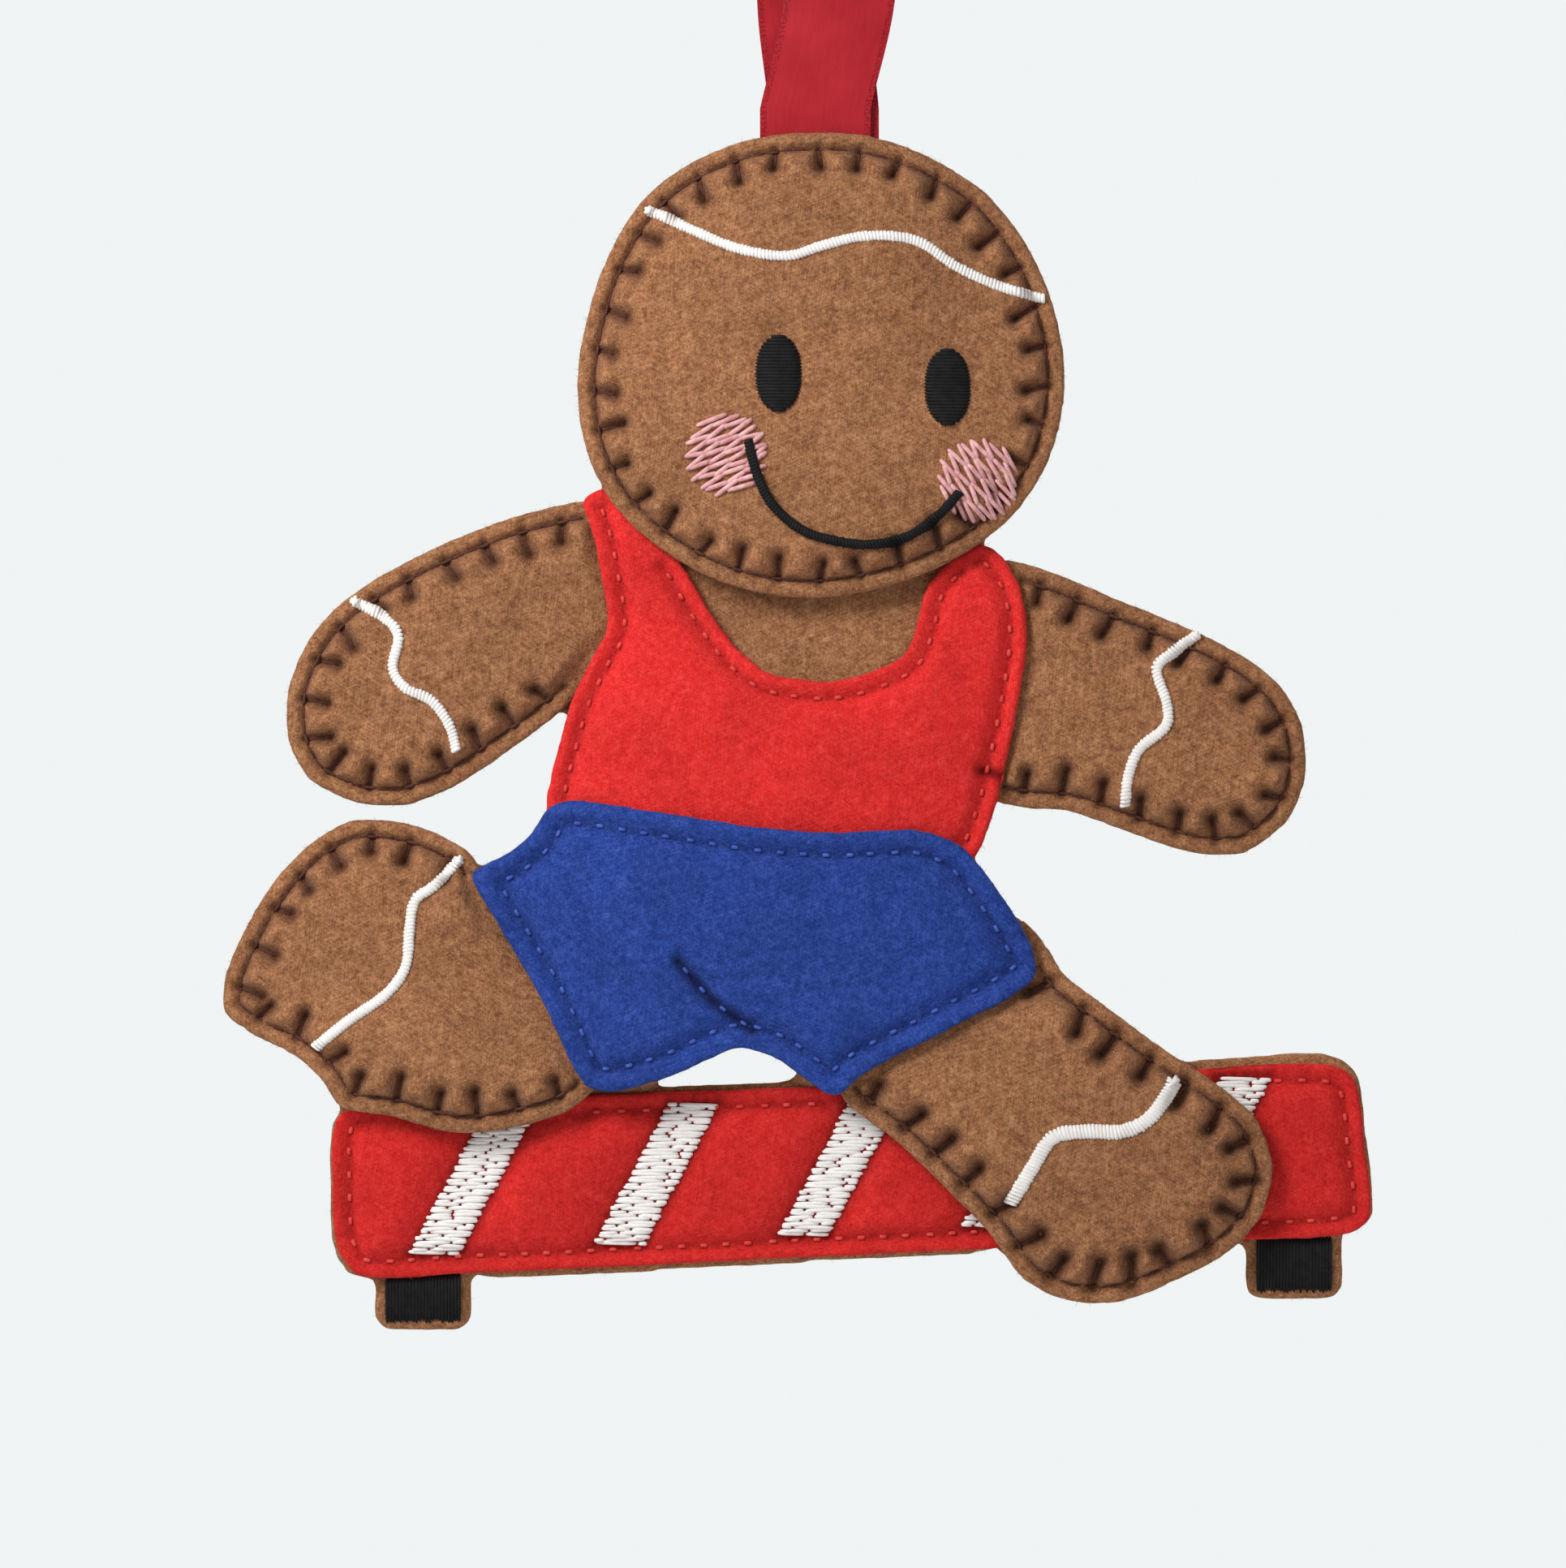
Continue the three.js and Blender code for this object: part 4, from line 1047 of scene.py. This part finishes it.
for side, slope in [("left", math.radians(24)), ("right", math.radians(-58))]:
    thread_piece(f"{side}_cheek_thread", cheek("head", f"{side}_cheek", slope, side), PINK_THREAD,
                 [f"{side}_cheek"])
smile_line = satin_line("head", SMILE, SMILE_WIDTH, SATIN_PITCH, SATIN_THREAD, "smile")
forward = TOWARDS_VIEWER * SMILE_LIFT
smile_stitches = [(a + forward, b + forward, *rest) for a, b, *rest in smile_line]
thread_piece("smile_satin", smile_stitches, BLACK_THREAD, ["smile"])


def eye(node):
    """Level satin stitches that fill an oval."""
    low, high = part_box(node)
    middle = (low.x + high.x) / 2
    count = round(EYE_HEIGHT / SATIN_PITCH)
    stitches = []
    for i in range(count):
        share = (i + 0.5) / count * 2 - 1
        reach = EYE_WIDTH / 2 * math.sqrt(1 - abs(share) ** 2.4)
        z = (low.z + high.z) / 2 + share * EYE_HEIGHT / 2
        start = on_felt("head", (middle - reach, z))
        end = on_felt("head", (middle + reach, z))
        stitches.append((start, end, SATIN_THREAD, EYE_STITCH, EYE_BOW))
    return stitches


for side in ("left", "right"):
    thread_piece(f"{side}_eye_satin", eye(f"{side}_eye"), BLACK_THREAD, [f"{side}_eye"])


def foot(node):
    """Upright satin stitches that fill a foot block."""
    low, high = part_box(node)
    count = round((high.x - low.x) / SATIN_PITCH)
    chance = random.Random(node)
    stitches = []
    for i in range(count):
        x = low.x + (i + 0.5) / count * (high.x - low.x)
        bottom = low.z - FOOT_DROP + chance.uniform(-0.12, 0.18) * MM
        start = on_felt("back", (x, bottom))
        end = on_felt("back", (x, high.z + FOOT_DROP))
        stitches.append((start, end, SATIN_THREAD, FOOT_STITCH, FOOT_BOW))
    return stitches


for side in ("left", "right"):
    thread_piece(f"{side}_foot_satin", foot(f"{side}_foot"), BLACK_THREAD, [f"{side}_foot"])


def stripe(index, low, high):
    """Close level stitches to and fro across a slanting stripe, each pieced at some place on its way."""
    chance = random.Random(index)
    rows = round((high[1] - low[1]) / STRIPE_ROW)
    stitches = []
    for row in range(rows):
        middle = low + (high - low) * (row + 0.5) / rows
        middle[0] += chance.uniform(-UNEVEN, UNEVEN) * MM
        tilt = STRIPE_ROW / 4 if row % 2 else -STRIPE_ROW / 4
        half = np.array([STRIPE_COVER / 2, tilt])
        split = chance.uniform(-0.7, 0.7)
        gap = STRIPE_GAP / STRIPE_COVER
        for a, b in [(-1, split - gap), (split + gap, 1)]:
            start, end = middle + a * half, middle + b * half
            stitches.append(laid("board", start, end, STRIPE_THREAD, STRIPE_HEIGHT, STRIPE_BOW))
    return stitches


for i, (low, high) in enumerate(stripe_middles(), 1):
    thread_piece(f"board_stripe_{i}_thread", stripe(i, low, high), WHITE_THREAD,
                 [f"board_stripe_{i}"])


def on_back(felt, spot):
    """The point of a felt's rear at an (x, z) place."""
    x, z = (float(c) for c in spot)
    return surface[felt].ray_cast(Vector((x, -FAR_IN_FRONT, z)), TOWARDS_VIEWER)[0]


def running(felt, paths, place=on_felt, bow=RUNNING_BOW):
    """Small separate stitches along a line, placed on a felt's front or rear."""
    stitches = []
    for path in paths:
        for i in at_pitch(path, RUNNING_PITCH):
            ahead = path[min(i + 1, len(path) - 1)] - path[max(i - 1, 0)]
            half = ahead / np.linalg.norm(ahead) * RUNNING_STITCH / 2
            start, end = place(felt, path[i] - half), place(felt, path[i] + half)
            stitches.append((start, end, RUNNING_THREAD, RUNNING_THREAD, bow))
    return stitches


for felt, material, slot, nodes in [
    ("vest", RED_THREAD, "red_thread", ["vest_stitch_1", "vest_stitch_2"]),
    ("shorts", BLUE_THREAD, "blue_thread", ["shorts_stitch_1"]),
    ("board", RED_THREAD, "red_thread", ["board_stitch_1", "board_stitch_2", "board_stitch_3"]),
]:
    stitches = running(felt, [path for path, _ in seams[felt]])
    thread_piece(f"{felt}_running_thread", stitches, material, nodes)
thread_piece("shorts_centre_thread", running("shorts", [centre_seam]), BLUE_THREAD,
             ["shorts_centre_seam"])


def blanket(felt):
    """The thread along a seam and the tines square to it."""
    stitches = []
    for path, _ in seams[felt]:
        marks = at_pitch(path, BLANKET_PITCH / 3, 0)
        for a, b in zip(marks, marks[1:]):
            start, end = on_felt(felt, path[a]), on_felt(felt, path[b])
            stitches.append((start, end, BLANKET_THREAD, BLANKET_THREAD, BLANKET_BOW))
    for a, b in tines[felt]:
        start, end = on_felt(felt, a, -TINE_SINK), on_felt(felt, b, -TINE_SINK)
        stitches.append((start, end, TINE_WIDTH, TINE_WIDTH, BLANKET_BOW))
    return stitches


back_stitches = running("back", [path for path, _ in seams["back"]], on_back, -RUNNING_BOW)
thread_piece("back_running_thread", back_stitches, BROWN_THREAD, [])
for felt in BLANKETED:
    thread_piece(f"{felt}_blanket_thread", blanket(felt), BROWN_THREAD,
                 [f"{felt}_blanket_stitch"])


# Ribbon


HINGE = next(j for j in frame["joints"] if j["name"] == "swing")["pos_m"][2]
LEG_RISE = BEND_CENTRE - HINGE
LOOP_RUN = LEG_RISE + math.pi / 2 * BEND_RADIUS


def ease(share):
    share = min(max(share, 0.0), 1.0)
    return share * share * (3 - 2 * share)


def ribbon_point(side, run):
    """The ribbon's middle line: side -1 is the front ply, 1 the back; the run is 0 at the swing axis."""
    height = run / LOOP_RUN
    lean = FRONT_LEAN if side < 0 else BACK_LEAN
    sway = lean * math.sin(math.pi * max(height, 0)) * (1 - height)
    sway += side * PLY_SHIFT * (1 - ease(run / SHIFT_REACH))
    if run <= LEG_RISE:
        least = TAIL_OFFSET + (PLY_OFFSET - TAIL_OFFSET) * ease(1 + run / TAIL_SPREAD)
        out = least + (BEND_RADIUS - PLY_OFFSET) * ease(run / LEG_RISE)
        return Vector((sway, side * out, HINGE + run))
    angle = (run - LEG_RISE) / BEND_RADIUS
    return Vector((sway, side * BEND_RADIUS * math.cos(angle), BEND_CENTRE + BEND_RADIUS * math.sin(angle)))


def ribbon_strip(name, stations):
    """A strip of ribbon through stations, mapped lengthwise, with its plies' thickness."""
    runs = [0.0]
    for a, b in zip(stations, stations[1:]):
        runs.append(runs[-1] + (b - a).length)
    shape = bmesh.new()
    across, lengthwise = 10, len(stations) - 1
    bmesh.ops.create_grid(shape, x_segments=across, y_segments=lengthwise, size=0.5)
    uv = shape.loops.layers.uv.new("ribbon")
    for face in shape.faces:
        for loop in face.loops:
            row = round((loop.vert.co.y + 0.5) * lengthwise)
            loop[uv].uv = (loop.vert.co.x * RIBBON_WIDTH, runs[row])
    for vert in shape.verts:
        station = stations[round((vert.co.y + 0.5) * lengthwise)]
        rise = min(max((station.z - HINGE) / LEG_RISE, 0.0), 1.0)
        cup = RIBBON_CUP * math.sin(math.pi * rise) * (1 - 4 * vert.co.x ** 2)
        vert.co = station + Vector((vert.co.x * RIBBON_WIDTH, math.copysign(cup, station.y), 0))
    piece = new_piece(name, shape)
    thicken = piece.modifiers.new("ply", "SOLIDIFY")
    thicken.thickness = RIBBON_THICKNESS
    thicken.offset = 0
    apply_modifiers(piece)
    piece.data.set_sharp_from_angle(angle=math.radians(60))
    return piece


def stations_between(side, start, end, step=0.7 * MM):
    count = max(2, round(abs(end - start) / step))
    return [ribbon_point(side, start + (end - start) * i / count) for i in range(count + 1)]


def ribbon_piece(name, stations, nodes):
    piece = ribbon_strip(name, stations)
    piece.data.materials.append(RIBBON_SATIN)
    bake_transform(piece)
    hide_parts(*nodes)
    return piece


over_the_top = stations_between(-1, RIBBON_SPLIT, LOOP_RUN) + stations_between(1, LOOP_RUN, RIBBON_SPLIT)[1:]
ribbon_piece("ribbon_loop", over_the_top,
             ["ribbon_bend"])
for side, name, nodes in [(-1, "ribbon_front_ply", ["ribbon_front_leg"]),
                          (1, "ribbon_back_ply", ["ribbon_back_leg", "ribbon_tail"])]:
    ribbon_piece(name, stations_between(side, -RIBBON_TAIL, RIBBON_SPLIT),
                 nodes)


# Stage, light and camera


def stage():
    """A pale floor below the hanging figure, soft light from the upper left and a white surround."""
    shape = bmesh.new()
    bmesh.ops.create_circle(shape, cap_ends=True, radius=0.5, segments=64,
                            matrix=Matrix.Translation((0, 0, -0.3)))
    floor = new_piece("floor", shape)
    material, _, _, shader = new_material("pale_floor", 0.9)
    shader.inputs["Base Color"].default_value = (0.85, 0.86, 0.86, 1)
    floor.data.materials.append(material)

    world = bpy.data.worlds.new("surround")
    scene.world = world
    world.use_nodes = True
    nodes, links = world.node_tree.nodes, world.node_tree.links
    seen = nodes.new("ShaderNodeLightPath")
    sharp = math_node(nodes, links, "MAXIMUM", seen.outputs["Is Camera Ray"], seen.outputs["Is Glossy Ray"])
    sharp = math_node(nodes, links, "MAXIMUM", sharp, seen.outputs["Is Transmission Ray"])
    lit = nodes["Background"]
    lit.inputs["Color"].default_value = (0.95, 0.97, 1, 1)
    lit.inputs["Strength"].default_value = 0.34
    white = nodes.new("ShaderNodeBackground")
    white.inputs["Color"].default_value = (0.87, 0.9, 0.9, 1)
    choose = nodes.new("ShaderNodeMixShader")
    links.new(sharp, choose.inputs["Fac"])
    links.new(lit.outputs["Background"], choose.inputs[1])
    links.new(white.outputs["Background"], choose.inputs[2])
    links.new(choose.outputs["Shader"], nodes["World Output"].inputs["Surface"])

    for name, place, size, power in [
        ("key", (-0.2, -0.21, 0.06), 0.14, 1.05),
        ("fill", (0.4, -0.5, -0.2), 0.4, 0.4),
        ("rear", (0.25, 0.42, 0.12), 0.35, 1.9),
    ]:
        lamp = bpy.data.lights.new(name, "AREA")
        lamp.size = size
        lamp.energy = power
        light = bpy.data.objects.new(name, lamp)
        light.location = place
        aim = Vector((0, 0, -0.12)) - Vector(place)
        light.rotation_euler = aim.to_track_quat("-Z", "Y").to_euler()
        scene.collection.objects.link(light)

    lens = bpy.data.cameras.new("camera")
    lens.lens = LENS
    lens.sensor_width = SENSOR
    camera = bpy.data.objects.new("camera", lens)
    distance = PHOTO_HEIGHT * LENS / SENSOR
    camera.location = (PHOTO_CENTRE[0], FRONT_PLANE - distance, HEAD_TOP + PHOTO_CENTRE[1])
    camera.rotation_euler = (math.pi / 2, 0, 0)
    scene.collection.objects.link(camera)
    scene.camera = camera


stage()
